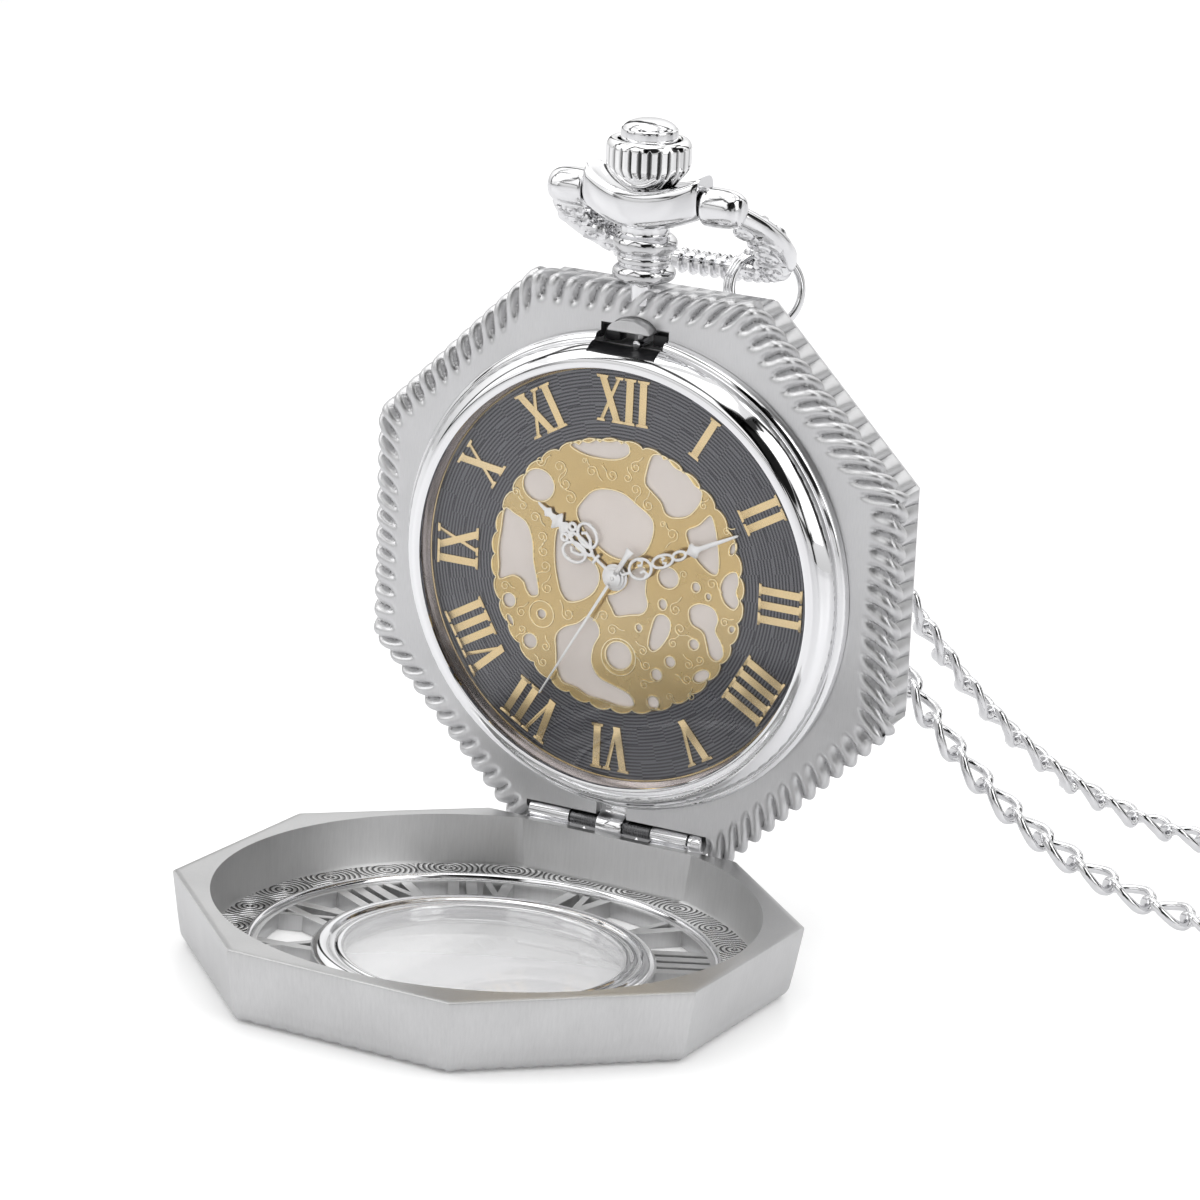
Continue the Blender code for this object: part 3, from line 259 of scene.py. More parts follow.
def fluted_metal(name, low):
    """Polished metal with painted shade: its colour darkens with the mesh's own groove depth, down to low."""
    shader = Shader(name)
    depth = shader.node("Attribute", attribute_name="groove").outputs["Fac"]
    shader.set(Metallic=1.0, Base_Color=shader.ramp(depth, (0.12, 0.95), (0.4, 0.5), (0.8, low)))
    shader.set(Roughness=shader.ramp(shader.noise(900, 3), (0.3, 0.05), (0.7, 0.11)))
    shader.bump(shader.noise(1400, 2), 0.08, 0.02)
    return shader.material


def clear_glass(name, sheen, painted_pale_share=0.0):
    """Thin glass whose reflections grow towards the edge. Its last argument is the share of pale diffuse
    white mixed in, a painted reflection that stands in for the white the glass mirrors and shows through it.
    """
    shader = Shader(name)
    shader.tree.nodes.remove(shader.principled)
    smudge = shader.ramp(shader.noise(90, 3), (0.45, 0.0), (0.75, 0.05))
    clear = shader.node("BsdfTransparent", {"Color": (1, 1, 1, 1)})
    # Pale diffuse white: painted reflection, not a real haze in the glass
    haze = shader.node("BsdfDiffuse", {"Color": (0.86, 0.86, 0.87, 1)})
    base = shader.node("MixShader", {0: painted_pale_share, 1: clear, 2: haze})
    gloss = shader.node("BsdfGlossy", {"Color": (1, 1, 1, 1), "Roughness": smudge})
    share = shader.math("MULTIPLY", shader.node("Fresnel", {"IOR": 1.45}), sheen)
    mixed = shader.node("MixShader", {0: share, 1: base, 2: gloss})
    shader.put(shader.tree.nodes["Material Output"].inputs["Surface"], mixed)
    return shader.material


STEEL = satin("satin_steel")
BACK_STEEL = satin("satin_back", (0.70, 0.70, 0.705), 0.3, (1, 16, 1))
LID_SATIN = satin("satin_lid", (0.67, 0.67, 0.67), 0.36, (5, 5, 0.5), 0.16)
INNER_SATIN = satin("brushed_lid_wall", (0.64, 0.64, 0.645), 0.16, (1.6, 1.6, 0.08), 0.9, 0.34)
POLISHED = polished("polished_silver")
BEZEL_METAL = polished("mirror_bezel", (0.92, 0.92, 0.93), 0.02, 0.1)
CHAIN_METAL = polished("chain_steel", (0.82, 0.82, 0.83), 0.1, 0.5)
ROPE = fluted_metal("rope_edge", 0.07)
CROWN_METAL = fluted_metal("fluted_crown", 0.2)
CAST = polished("cast_silver", (0.86, 0.86, 0.87), 0.09, 0.75)
DARK = enamel("recess_shadow", (0.012, 0.012, 0.014), 0.4)
# Near-black steel for the case's knuckle: painted shade for the dark gap that it sits in
SHADED_KNUCKLE_STEEL = satin("shaded_knuckle_steel", (0.16, 0.16, 0.165), 0.25)
GOLD = gilt("gold_plate", (0.66, 0.50, 0.25), 0.24)
# Paler, glossier gold for the raised window rims and scrolls: real raised wire, with a painted highlight in
# its colour
GOLD_EDGE = gilt("gold_edge", (0.98, 0.86, 0.58), 0.14)
NUMERAL_GOLD = gilt("numeral_gold", (0.86, 0.68, 0.40), 0.2)
CREAM = enamel("cream_plate", (0.87, 0.80, 0.755), 0.42, 0.1)
CHAMPAGNE = enamel("champagne_ring", (0.50, 0.45, 0.44), 0.2, 0.85, 500)
DIAL = engine_turned_dial()
TURNING = bullseye_turned()
HAND_SILVER = polished("silvered_hands", (0.97, 0.97, 0.97), 0.3, 0.1)
GLASS = clear_glass("watch_crystal", 0.55)
LENS = clear_glass("lid_lens_glass", 0.45, 0.3)
NYLON = enamel("white_nylon", (0.80, 0.80, 0.78), 0.5)
BRASS = gilt("movement_brass", (0.74, 0.58, 0.30), 0.3)
COPPER = gilt("copper_winding", (0.72, 0.36, 0.22), 0.35)
BOARD = enamel("circuit_board", (0.05, 0.26, 0.13), 0.45)


# ---------- mesh building


def linked(data, name="helper"):
    """A new object of the data, in the scene."""
    obj = bpy.data.objects.new(name, data)
    bpy.context.scene.collection.objects.link(obj)
    return obj


def make(name, mesh, finishes, node, adds=False, sharp=35.0, place=CASE, body="case"):
    """Shows a mesh, in metres in its own frame, as a piece that rides on a body.
    It stands for a CAD node, whose own mesh it hides, unless it only adds to another piece that does."""
    obj = linked(mesh, name)
    obj.matrix_world = place
    for finish in finishes if isinstance(finishes, list) else [finishes]:
        mesh.materials.append(finish)
    mesh.shade_smooth()
    mesh.set_sharp_from_angle(angle=math.radians(sharp))
    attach(obj, body)
    if not adds:
        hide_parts(node)


def make_on_lid(*piece, **settings):
    make(*piece, place=LID, body="lid", **settings)


@contextmanager
def editing(mesh):
    """A bmesh of the mesh, written back to the mesh afterwards."""
    work = bmesh.new()
    work.from_mesh(mesh)
    yield work
    work.to_mesh(mesh)
    work.free()


def cleaned(mesh):
    with editing(mesh) as work:
        bmesh.ops.remove_doubles(work, verts=work.verts, dist=1e-7)
        bmesh.ops.dissolve_degenerate(work, dist=1e-8, edges=work.edges)
        bmesh.ops.recalc_face_normals(work, faces=work.faces)
    return mesh


def joined(meshes):
    """One mesh of several, each keeping its own material indices."""
    result = bpy.data.meshes.new("joined")
    with editing(result) as work:
        for mesh in meshes:
            work.from_mesh(mesh)
    return result


def moved(mesh, x=0.0, y=0.0, z=0.0, turn=0.0, axis="Z"):
    """The mesh turned about an axis by degrees, then moved by millimetres."""
    place = Matrix.Translation((x * MM, y * MM, z * MM))
    mesh.transform(place @ Matrix.Rotation(math.radians(turn), 4, axis))
    return mesh


def on_stem(mesh):
    """Stands a mesh that was made about Z on the winding stem's axis."""
    return moved(mesh, z=-STEM_DEPTH, turn=-90, axis="X")


def on_hinge(mesh, x, side, height):
    """Lays a mesh that was made about Z along the hinge, from x. Side is -1 on the case and 1 on the lid."""
    return moved(mesh, x, side * HINGE_REACH, height, 90, "Y")


def grid_mesh(points, wrap_rows=False, wrap_columns=True):
    """A mesh from a rows x columns array of points in millimetres."""
    rows, columns = points.shape[:2]
    index = np.arange(rows * columns).reshape(rows, columns)
    low = index if wrap_rows else index[:-1]
    high = np.roll(index, -1, 0) if wrap_rows else index[1:]
    if wrap_columns:
        quads = [low, np.roll(low, -1, 1), np.roll(high, -1, 1), high]
    else:
        quads = [low[:, :-1], low[:, 1:], high[:, 1:], high[:, :-1]]
    faces = np.stack([q.ravel() for q in quads], 1)
    mesh = bpy.data.meshes.new("grid")
    mesh.from_pydata((points.reshape(-1, 3) * MM).tolist(), [], faces.tolist())
    return mesh


def with_groove(mesh, depth):
    """Stores how deep in a groove each point is, for fluted_metal."""
    groove = mesh.attributes.new("groove", "FLOAT", "POINT")
    groove.data.foreach_set("value", depth.ravel().astype(np.float32))


def softened(points, rounds=2):
    """Chaikin's corner cutting on an open line, keeping its ends."""
    for _ in range(rounds):
        cut = [points[0]]
        for a, b in zip(points, points[1:]):
            cut.append(tuple(p * 0.75 + q * 0.25 for p, q in zip(a, b)))
            cut.append(tuple(p * 0.25 + q * 0.75 for p, q in zip(a, b)))
        cut.append(points[-1])
        points = cut
    return points


def spline(points, per_span=6, closed=False):
    """Catmull-Rom curve through the points."""
    knots = np.array(points, float)
    before, after = (knots[-1:], knots[:2]) if closed else (knots[:1], knots[-1:])
    knots = np.concatenate([before, knots, after])
    t = np.arange(per_span)[:, None] / per_span
    result = []
    for a, b, c, d in zip(knots, knots[1:], knots[2:], knots[3:]):
        curve = 2 * b + (c - a) * t + (2 * a - 5 * b + 4 * c - d) * t**2 + (3 * b - a - 3 * c + d) * t**3
        result += (curve / 2).tolist()
    return result if closed else result + [points[-1]]


def full_turn(count):
    return [2 * math.pi * i / count for i in range(count)]


def turned(profile, steps=128, closed=False):
    """A (radius, height) profile turned about Z."""
    angles = np.array(full_turn(steps))
    radius, height = np.array(profile, float).T[:, :, None]
    x, y = radius * np.cos(angles), radius * np.sin(angles)
    return cleaned(grid_mesh(np.stack([x, y, np.broadcast_to(height, x.shape)], -1), wrap_rows=closed))


def baked(holder):
    """The evaluated mesh of a helper object, which is then removed."""
    bpy.context.view_layer.update()
    graph = bpy.context.evaluated_depsgraph_get()
    mesh = bpy.data.meshes.new_from_object(holder.evaluated_get(graph))
    bpy.data.objects.remove(holder)
    mesh.materials.clear()
    return mesh


def bevelled(mesh, width):
    holder = linked(mesh)
    modifier = holder.modifiers.new("bevel", "BEVEL")
    modifier.width = width * MM
    modifier.segments = 2
    modifier.limit_method = "ANGLE"
    modifier.angle_limit = math.radians(45)
    modifier.use_clamp_overlap = False
    return baked(holder)


def carved(mesh, cutters, material_index):
    """The mesh with other meshes cut out of it. New faces take material_index."""
    holder = linked(mesh)
    helpers = []
    for cutter in cutters:
        while len(cutter.materials) <= material_index:
            cutter.materials.append(None)
        cutter.polygons.foreach_set("material_index", [material_index] * len(cutter.polygons))
        helpers.append(linked(cutter))
        modifier = holder.modifiers.new("cut", "BOOLEAN")
        modifier.operation = "DIFFERENCE"
        modifier.solver = "EXACT"
        modifier.object = helpers[-1]
    result = baked(holder)
    for other in helpers:
        bpy.data.objects.remove(other)
    return result


def curved(lines, closed, radius=1.0, **settings):
    """The mesh of a curve along lines of points in millimetres. radius is a number, or one for each point."""
    data = bpy.data.curves.new("curve", "CURVE")
    for key, value in settings.items():
        setattr(data, key, value)
    for line in lines:
        made = data.splines.new("POLY")
        made.points.add(len(line) - 1)
        made.use_cyclic_u = closed
        radii = radius if isinstance(radius, list) else [radius] * len(line)
        for point, spot, share in zip(made.points, line, radii):
            point.co = (*(Vector((*spot, 0)[:3]) * MM), 1)
            point.radius = share
    return baked(linked(data))


def plate(outlines, low, high, bevel=0.0):
    """A flat piece with holes: the first outline is its edge."""
    mesh = curved(outlines, True, dimensions="2D", fill_mode="BOTH", extrude=(high - low) / 2 * MM)
    cleaned(moved(mesh, z=(high + low) / 2))
    return bevelled(mesh, bevel) if bevel else mesh


def tube(lines, radius, sides=10, closed=False, flatten=1.0):
    """Wires along lines, as thick as radius."""
    shape = {"dimensions": "3D", "bevel_depth": MM, "bevel_resolution": sides // 2 - 2}
    mesh = curved(lines, closed, radius, use_fill_caps=not closed, **shape)
    mesh.transform(Matrix.Diagonal((1, 1, flatten, 1)))
    return mesh


def block(low, high, bevel=0.0):
    low, high = Vector(low) * MM, Vector(high) * MM
    mesh = bpy.data.meshes.new("block")
    with editing(mesh) as work:
        bmesh.ops.create_cube(work, size=1.0)
        bmesh.ops.scale(work, vec=high - low, verts=work.verts)
        bmesh.ops.translate(work, vec=(low + high) / 2, verts=work.verts)
    return bevelled(mesh, bevel) if bevel else mesh


def swung(u, v, x, y, turn):
    """The point (u, v) turned by degrees, then moved by (x, y)."""
    c, s = math.cos(math.radians(turn)), math.sin(math.radians(turn))
    return x + u * c - v * s, y + u * s + v * c


def circle(radius, sides=64, x=0.0, y=0.0, stretch=1.0, turn=0.0):
    across = radius * stretch
    return [swung(radius * math.cos(a), across * math.sin(a), x, y, turn) for a in full_turn(sides)]


def loop(x, y, half_width, half_length, turn=0.0, count=26):
    """An oval as a line in space, from the end that points along y."""
    found = []
    for a in full_turn(count):
        found.append((*swung(half_width * math.sin(a), half_length * math.cos(a), x, y, turn), 0.0))
    return found


def at_height(line, z):
    return [(x, y, z) for x, y in line]


def half_oval(half_width, foot, rise, count=24):
    angles = [i * math.pi / count for i in range(count + 1)]
    return [(half_width * math.cos(a), foot + rise * math.sin(a)) for a in angles]


def smoothstep(low, high, value):
    t = np.clip((value - low) / (high - low), 0, 1)
    return t * t * (3 - 2 * t)


def signed_power(value, power):
    return math.copysign(abs(value) ** power, value)


def octagon_rows(section, columns):
    """Rows x columns points of an eight-sided shell, and the way that each column faces.
    A section row is (apothem, height, roundness), where roundness 1 makes a circle."""
    u = np.arange(columns) / columns * SIDES
    side = np.floor(u)
    angle = side * 2 * math.pi / SIDES
    nx, ny = np.cos(angle), np.sin(angle)
    along = HALF_SIDE * ((u - side) * 2 - 1)
    flat = np.stack([nx - ny * along, ny + nx * along])
    apothem, height, roundness = np.array(section, float).T[:, :, None]
    share = 1 - roundness + roundness / np.linalg.norm(flat, axis=0)
    x, y = apothem * share * flat[0], apothem * share * flat[1]
    return np.stack([x, y, np.broadcast_to(height, x.shape)], -1), nx, ny


# ---------- case


def roped_shell(section, start, stop, depth, swell, marked_from, marked_above):
    """An eight-sided shell that is cut into slanted flutes between two distances along its section.
    Its flat-sided rows beyond one distance and above one height take material 1."""
    columns = SIDES * FLUTES_PER_SIDE * POINTS_PER_FLUTE
    line = np.array(section, float)
    points, nx, ny = octagon_rows(section, columns)
    steps = np.linalg.norm(np.diff(line[:, :2], axis=0), axis=1)
    distance = np.concatenate([[0], np.cumsum(steps)])
    tangent = np.gradient(line[:, :2], axis=0)
    tangent /= np.maximum(np.linalg.norm(tangent, axis=1, keepdims=True), 1e-9)
    out, rise = -tangent[:, 1:], tangent[:, :1]
    phase = np.arange(columns) / POINTS_PER_FLUTE
    t = (phase + ROPE_SLANT * (distance[:, None] - start)) % 1.0
    lobe = 1 - np.abs(2 * t**0.75 - 1) ** 2.2
    share = smoothstep(start, start + 1.3, distance) * (1 - smoothstep(stop - 0.35, stop, distance))
    groove = share[:, None] * (1 - lobe)
    move = swell * share[:, None] * lobe * (1 - np.abs(rise)) - depth * groove
    points += np.stack([move * out * nx, move * out * ny, move * rise], -1)
    mesh = grid_mesh(points, wrap_rows=True)
    with_groove(mesh, groove)
    marked = (distance > marked_from) & (line[:, 1] > marked_above) & (line[:, 2] == 0)
    mesh.polygons.foreach_set("material_index", np.repeat(marked.astype(np.int32), columns))
    return cleaned(mesh)


def flat_sided(points):
    return [(apothem, height, 0.0) for apothem, height in points]


def round_sided(points):
    return [(radius, height, 1.0) for radius, height in points]


def latch_cutters(foot):
    """The latch's square recess from foot outward, and its rounded pocket."""
    return [block((-3.1, foot, -2.6), (3.1, 20.9, 4)), plate([half_oval(2.1, 20.4, 1.35)], -0.4, 4)]


def build_case():
    """From the bore's front edge out over the face and the roped edge, down the band and back inside."""
    section = round_sided([(19.96, 0.0), (20.3, 0.0)])
    section += flat_sided([(21.2, 0.0)] + [(21.5 + 0.14 * i, 0.0) for i in range(9)])
    bend = [(22.62, 0.0), (23.3, 0.0), (23.95, -0.25), (24.2, -0.9), (24.2, -1.7), (24.0, -2.5)]
    section += flat_sided(softened(bend + [(23.5, -2.95)])[1:])
    section += flat_sided([(23.42, -3.05), (23.4, -3.2), (23.4, -5.8), (23.25, -6.0)])
    section += round_sided([(19.0, -6.0), (19.0, -0.6), (19.96, -0.6)])
    mesh = roped_shell(section, 1.55, 8.1, depth=0.70, swell=0.05, marked_from=2.3, marked_above=-3.0)
    hinge_notch = block((-8.4, -25.5, -1.45), (8.6, -21.6, 1))
    spring_slot = block((-1.75, -21.8, -0.65), (1.1, -20.55, 1))
    # The cut faces take the recess_shadow black: painted shadow inside the recess, notch and slot
    mesh = carved(mesh, latch_cutters(19.1) + [hinge_notch, spring_slot], material_index=2)
    make("case_band_and_face", mesh, [STEEL, ROPE, DARK], "middle_case", sharp=30)
    knuckle = barrel(bore=0.4, radius=0.62, length=7.5, inset=0.02, edge=0.05)
    knuckle = on_hinge(knuckle, -4.15, -1, -HINGE_DEPTH)
    foot = block((-4.15, -22.95, -1.6), (3.35, -21.95, -0.8), 0.05)
    # The knuckle's dark steel is painted shade for the gap around it
    make("case_knuckle", joined([knuckle, foot]), SHADED_KNUCKLE_STEEL, "middle_case", adds=True)


def build_back():
    section = round_sided([(0.01, -8.2), (15.6, -8.2), (15.75, -8.08), (16.35, -8.08), (16.5, -8.2)])
    section += [(17.4, -8.2, 0.6)] + flat_sided([(18.9, -8.2), (19.25, -8.14), (19.5, -8.05)])
    section += flat_sided(softened([(22.1, -7.4), (23.0, -6.9), (23.15, -6.5), (22.95, -6.08)]))
    section += round_sided([(19.0, -6.06), (18.9, -5.35), (17.6, -5.35), (17.6, -6.9), (0.01, -6.9)])
    points, _, _ = octagon_rows(section, SIDES * 24)
    make("back_cover_shell", cleaned(grid_mesh(points)), BACK_STEEL, "back_cover", sharp=25)
    bead = tube([at_height(circle(16.05, 180), -8.07)], 0.12, 8, closed=True)
    make("back_cover_ring", bead, POLISHED, "back_cover", adds=True)


def build_bezel():
    crest = [(17.85, 2.98), (18.05, 3.05), (18.35, 3.03), (18.7, 2.93), (19.1, 2.62), (19.5, 2.12)]
    section = softened(crest + [(19.78, 1.6), (19.86, 1.15)]) + [(19.88, 1.0), (20.02, 0.98)]
    section += softened([(20.02, 0.98), (20.34, 0.75), (20.42, 0.3), (20.40, 0.05)])
    section += [(19.9, 0.05), (19.9, -0.5), (19.02, -0.5), (19.02, 2.62), (17.85, 2.66)]
    # The faces cut for the latch take the recess_shadow black: painted shadow in the recess
    mesh = carved(turned(section, 200, closed=True), latch_cutters(18.95), material_index=1)
    make("polished_bezel", mesh, [BEZEL_METAL, DARK], "bezel", sharp=28)


def build_latch():
    catch = plate([half_oval(1.95, 20.55, 1.05, 32)], -0.25, 1.25, 0.12)
    make("catch_tab", catch, STEEL, "latch_catch", body="catch")
    # The guides and a thin liner sheet take the recess_shadow black: painted shadow inside the latch recess
    guides = [block((x, 19.4, -1.6), (x + 1.35, 20.4, -0.32), 0.1) for x in (-2.85, 1.5)]
    shadow_liner = block((-3.08, 18.96, -2.4), (3.08, 19.04, 2.55))
    make("latch_guides", joined(guides + [shadow_liner]), DARK, "middle_case", adds=True)
    post = softened([(AXIS, 0.35), (0.3, 0.35), (0.38, 0.2), (0.38, -2.5), (AXIS, -2.5)], 1)
    make("latch_post", moved(turned(post, 32), 0.35, 19.48), POLISHED, "middle_case", adds=True)


def dome(radius, edge, rise, thickness, shares):
    """A round lens: its top is edge high at the rim and rises towards the middle."""
    top = [(radius * s, edge + rise * (1 - s * s)) for s in shares]
    return turned(top + [(r, z - thickness) for r, z in reversed(top)], 160)


def build_glass():
    shares = (AXIS, 0.2, 0.4, 0.6, 0.75, 0.88, 0.96, 1.0)
    mesh = dome(radius=18.38, edge=2.60, rise=0.62, thickness=0.5, shares=shares)
    make("domed_crystal", mesh, GLASS, "crystal")


# ---------- dial and hands

NUMERALS = ("XII", "I", "II", "III", "IIII", "V", "VI", "VII", "VIII", "IX", "X", "XI")
LETTER_WIDTH = {"I": 1.22, "V": 2.35, "X": 2.35}


def numeral_strokes(text, height, thick, thin, scale=1.0):
    """Bars of a Roman numeral, centred and cut level, and the (x, y, width) of each end that has a serif."""
    x = -sum(LETTER_WIDTH[letter] for letter in text) * scale / 2
    low, high = -height / 2, height / 2
    bars, ends = [], []
    for letter in text:
        middle = x + LETTER_WIDTH[letter] * scale / 2
        lean = LETTER_WIDTH[letter] * scale * 0.33
        x += LETTER_WIDTH[letter] * scale
        foot, head = {"I": (0, 0), "V": (0, -lean), "X": (lean, -lean)}[letter]
        for side, width in ((1, thick), (-1, thin))[: 1 if letter == "I" else 2]:
            start, end, half = middle + side * foot, middle + side * head, width / 2
            bars.append([(start - half, low), (start + half, low), (end + half, high), (end - half, high)])
            ends += [(start, low, width)] * (letter != "V") + [(end, high, width)]
    return bars, ends


def numeral_mesh(text, height=3.9, top=1.56, serif=0.24):
    bars, ends = numeral_strokes(text, height, thick=0.66, thin=0.34)
    parts = [plate([bar], DIAL_TOP, top - 0.004 * number, 0.035) for number, bar in enumerate(bars)]
    for x, y, width in ends:
        inside = serif if y < 0 else -serif
        reach = width / 2 + serif
        tip = reach - 0.08
        outline = [(x - reach, y), (x + reach, y), (x + tip, y + inside), (x - tip, y + inside)]
        parts.append(plate([outline], DIAL_TOP, top + 0.006, 0.03))
    return joined(parts)


def build_dial():
    rim = softened([(18.93, 1.42), (18.93, 2.0), (18.5, 2.0), (17.95, 1.75), (17.68, 1.5), (17.6, 1.42)], 1)
    make("champagne_dial_ring", turned(rim, 180, closed=True), CHAMPAGNE, "dial_ring")
    bead = tube([at_height(circle(17.56, 180), 1.44)], 0.085, 8, closed=True)
    make("gilt_dial_bead", bead, NUMERAL_GOLD, "dial_ring", adds=True)
    gasket = [(18.93, 2.08), (18.93, 2.58), (18.47, 2.58), (18.47, 2.08)]
    make("gasket_ring", turned(gasket, 160, closed=True), NYLON, "crystal_gasket")
    face = plate([circle(18.7, 180), circle(11.52, 120)], DIAL_FLOOR, DIAL_TOP)
    make("engine_turned_dial", face, DIAL, "dial_plate")
    cream = plate([circle(11.5, 120), circle(0.8, 24)], DIAL_FLOOR, DIAL_TOP - 0.015)
    make("cream_backing", cream, CREAM, "dial_backing")
    for hour, text in enumerate(NUMERALS):
        mesh = moved(moved(numeral_mesh(text), y=14.95), turn=-30 * hour)
        make(f"numeral_{hour or 12}", mesh, NUMERAL_GOLD, "skeleton_disc", adds=True, sharp=25)


# Windows of the gold disc, each a ring of points that a smooth line goes through
WINDOWS = (
    ((-4.7, 10.5), (-3.9, 11.0), (-3.0, 11.0), (-2.2, 11.4), (-1.2, 11.35), (-0.3, 11.6), (0.6, 11.4),
     (0.8, 10.7), (0.2, 10.15), (-0.8, 9.85), (-2.4, 9.8), (-3.9, 10.05)),
    ((2.9, 10.9), (4.1, 10.9), (4.9, 10.2), (6.0, 9.8), (6.8, 9.0), (7.5, 8.5), (7.3, 7.4), (6.4, 6.3),
     (5.2, 5.9), (4.3, 6.1), (3.8, 7.0), (3.0, 7.7), (2.3, 8.4), (2.4, 9.6)),
    ((-10.6, 4.1), (-9.6, 3.8), (-8.5, 3.2), (-7.9, 1.8), (-7.7, 0.0), (-7.3, -1.6), (-7.15, -2.8),
     (-7.8, -3.1), (-8.3, -2.7), (-8.7, -1.9), (-9.6, -1.6), (-10.9, -2.1), (-11.0, -0.9), (-11.1, 0.6),
     (-10.9, 2.2)),
    ((-3.9, 4.9), (-3.3, 6.1), (-2.4, 7.0), (-1.1, 7.35), (0.4, 7.2), (1.8, 6.4), (3.0, 5.6),
     (3.3, 4.7), (3.05, 3.4), (2.4, 2.3), (1.2, 1.6), (-0.4, 1.6), (-1.8, 2.3), (-3.0, 3.3)),
    ((-5.6, 3.2), (-4.6, 2.4), (-3.2, 1.4), (-1.9, 0.7), (-1.5, -0.4), (-1.9, -1.6), (-2.9, -2.5),
     (-4.2, -2.95), (-5.0, -2.4), (-5.5, -1.0), (-5.8, 1.0)),
    ((1.2, 0.6), (2.3, 1.3), (2.8, 0.9), (2.8, -0.8), (3.05, -1.9), (2.6, -2.75), (1.4, -3.1),
     (0.2, -3.4), (-0.3, -2.8), (-0.8, -1.8), (0.0, -1.4), (0.9, -0.6)),
    ((-1.5, -4.4), (-2.4, -3.8), (-3.4, -4.6), (-4.7, -5.2), (-5.4, -6.1), (-5.3, -7.6), (-5.2, -9.0),
     (-4.6, -10.0), (-3.3, -10.3), (-2.2, -10.8), (-0.9, -10.9), (0.4, -11.1), (1.6, -11.1),
     (2.2, -10.7), (1.7, -9.9), (0.3, -9.4), (-1.2, -8.9), (-1.9, -7.8), (-1.8, -6.4), (-1.3, -5.3)),
    ((6.25, 5.0), (7.3, 5.7), (8.3, 6.7), (8.8, 5.9), (9.15, 4.4), (9.35, 2.8), (9.2, 1.8), (8.5, 1.8),
     (7.4, 2.6), (6.6, 3.7)),
    ((10.9, 2.3), (10.1, 2.0), (9.6, 1.2), (9.6, 0.2), (10.1, -0.6), (10.9, -0.9), (11.3, -0.2),
     (11.0, 0.6), (11.2, 1.5)),
    ((6.9, -1.4), (7.8, -0.9), (9.0, -1.1), (9.5, -2.0), (9.3, -3.0), (9.9, -4.0), (10.1, -5.0),
     (9.5, -5.6), (8.8, -5.2), (8.5, -4.2), (8.1, -3.3), (7.2, -2.9), (6.8, -2.2)),
    ((3.8, -2.7), (4.6, -2.45), (5.2, -3.0), (5.1, -4.1), (4.4, -5.3), (3.7, -5.8), (3.2, -5.3),
     (3.4, -3.9)),
)
# Round and oval windows: radius, x, y, stretch, turn
PORTS = (
    (1.5, -7.5, 6.6, 0.95, 0), (1.25, 0.55, -6.75, 1.0, 0), (1.0, 4.8, 0.75, 0.95, 0),
    (0.42, 4.4, -1.6, 1.2, 0), (0.42, 7.35, 0.4, 1.1, 0), (0.28, 8.5, -0.2, 1.2, 0),
    (0.5, 7.4, -4.5, 1.0, 0), (0.52, 5.3, -6.4, 1.0, 0), (0.55, 4.1, -7.75, 1.0, 0),
    (0.6, 3.9, -10.2, 1.0, 0), (0.33, 2.3, -4.0, 1.1, 0), (0.45, -6.8, -4.45, 1.0, 0),
    (0.65, -9.9, -3.8, 1.05, 0), (0.7, -7.8, -7.0, 1.0, 0), (0.85, 8.2, -7.1, 0.6, 35),
    (0.6, 10.5, 4.2, 0.5, 70), (0.55, -9.75, -5.5, 0.5, -60), (0.35, 10.75, -2.6, 0.8, 60),
)
# Embossed scrolls: x, y, radius, turn of the free end, hand
SCROLLS = (
    (-5.6, 8.5, 0.5, -60, 1), (-5.0, 7.15, 0.5, 120, 1), (-2.6, 8.6, 0.45, 0, 1),
    (-0.7, 8.6, 0.45, 180, 1), (0.7, 8.6, 0.35, 60, -1), (1.4, 9.6, 0.42, 90, 1),
    (1.5, 7.7, 0.45, -60, 1), (2.7, 6.6, 0.45, 120, 1), (-4.5, 6.0, 0.5, 100, -1),
    (-9.6, 5.7, 0.32, 0, 1), (-8.9, 4.6, 0.32, 90, -1), (-7.7, 3.8, 0.42, 0, 1),
    (-7.0, 2.25, 0.42, -60, 1), (-6.8, 1.0, 0.42, 120, 1), (-6.6, -0.25, 0.46, -100, 1),
    (-6.35, -2.1, 0.46, 110, 1), (-4.3, -4.0, 0.5, 160, 1), (-1.0, -3.55, 0.42, 180, -1),
    (-0.1, -4.6, 0.42, 40, 1), (5.0, 4.5, 0.5, -80, 1), (5.6, -1.8, 0.48, 100, 1),
    (6.1, -3.4, 0.48, -60, -1), (5.5, -4.75, 0.36, 90, 1), (2.75, -5.9, 0.36, 100, -1),
    (3.1, -7.1, 0.4, 180, 1), (3.05, -8.8, 0.36, 60, 1), (7.0, -6.3, 0.36, 90, -1),
    (8.0, -5.75, 0.36, -90, 1), (6.9, -7.6, 0.4, 200, 1), (8.8, 0.95, 0.42, 0, 1),
    (-7.4, 8.7, 0.4, 0, -1), (-8.7, -4.6, 0.4, 90, 1), (-8.6, -6.1, 0.34, -90, 1),
    (-6.3, -7.2, 0.36, 60, -1), (-6.5, -8.6, 0.36, 180, 1), (10.1, -2.1, 0.34, 60, 1),
    (6.2, 1.3, 0.3, 200, -1), (5.4, -9.4, 0.3, 0, 1), (7.4, -9.0, 0.3, 120, 1), (9.9, 5.6, 0.3, 60, 1),
    (7.7, 7.4, 0.3, 90, 1), (-10.3, -2.6, 0.36, 30, 1), (4.1, 5.2, 0.26, 0, 1), (-3.3, 9.4, 0.22, 0, 1),
)


def scalloped(radius, lobes=36, rise=0.34, per_lobe=9):
    found = []
    for a in full_turn(lobes * per_lobe):
        r = radius - rise + rise * abs(math.sin(a * lobes / 2)) ** 0.6
        found.append((r * math.cos(a), r * math.sin(a)))
    return found


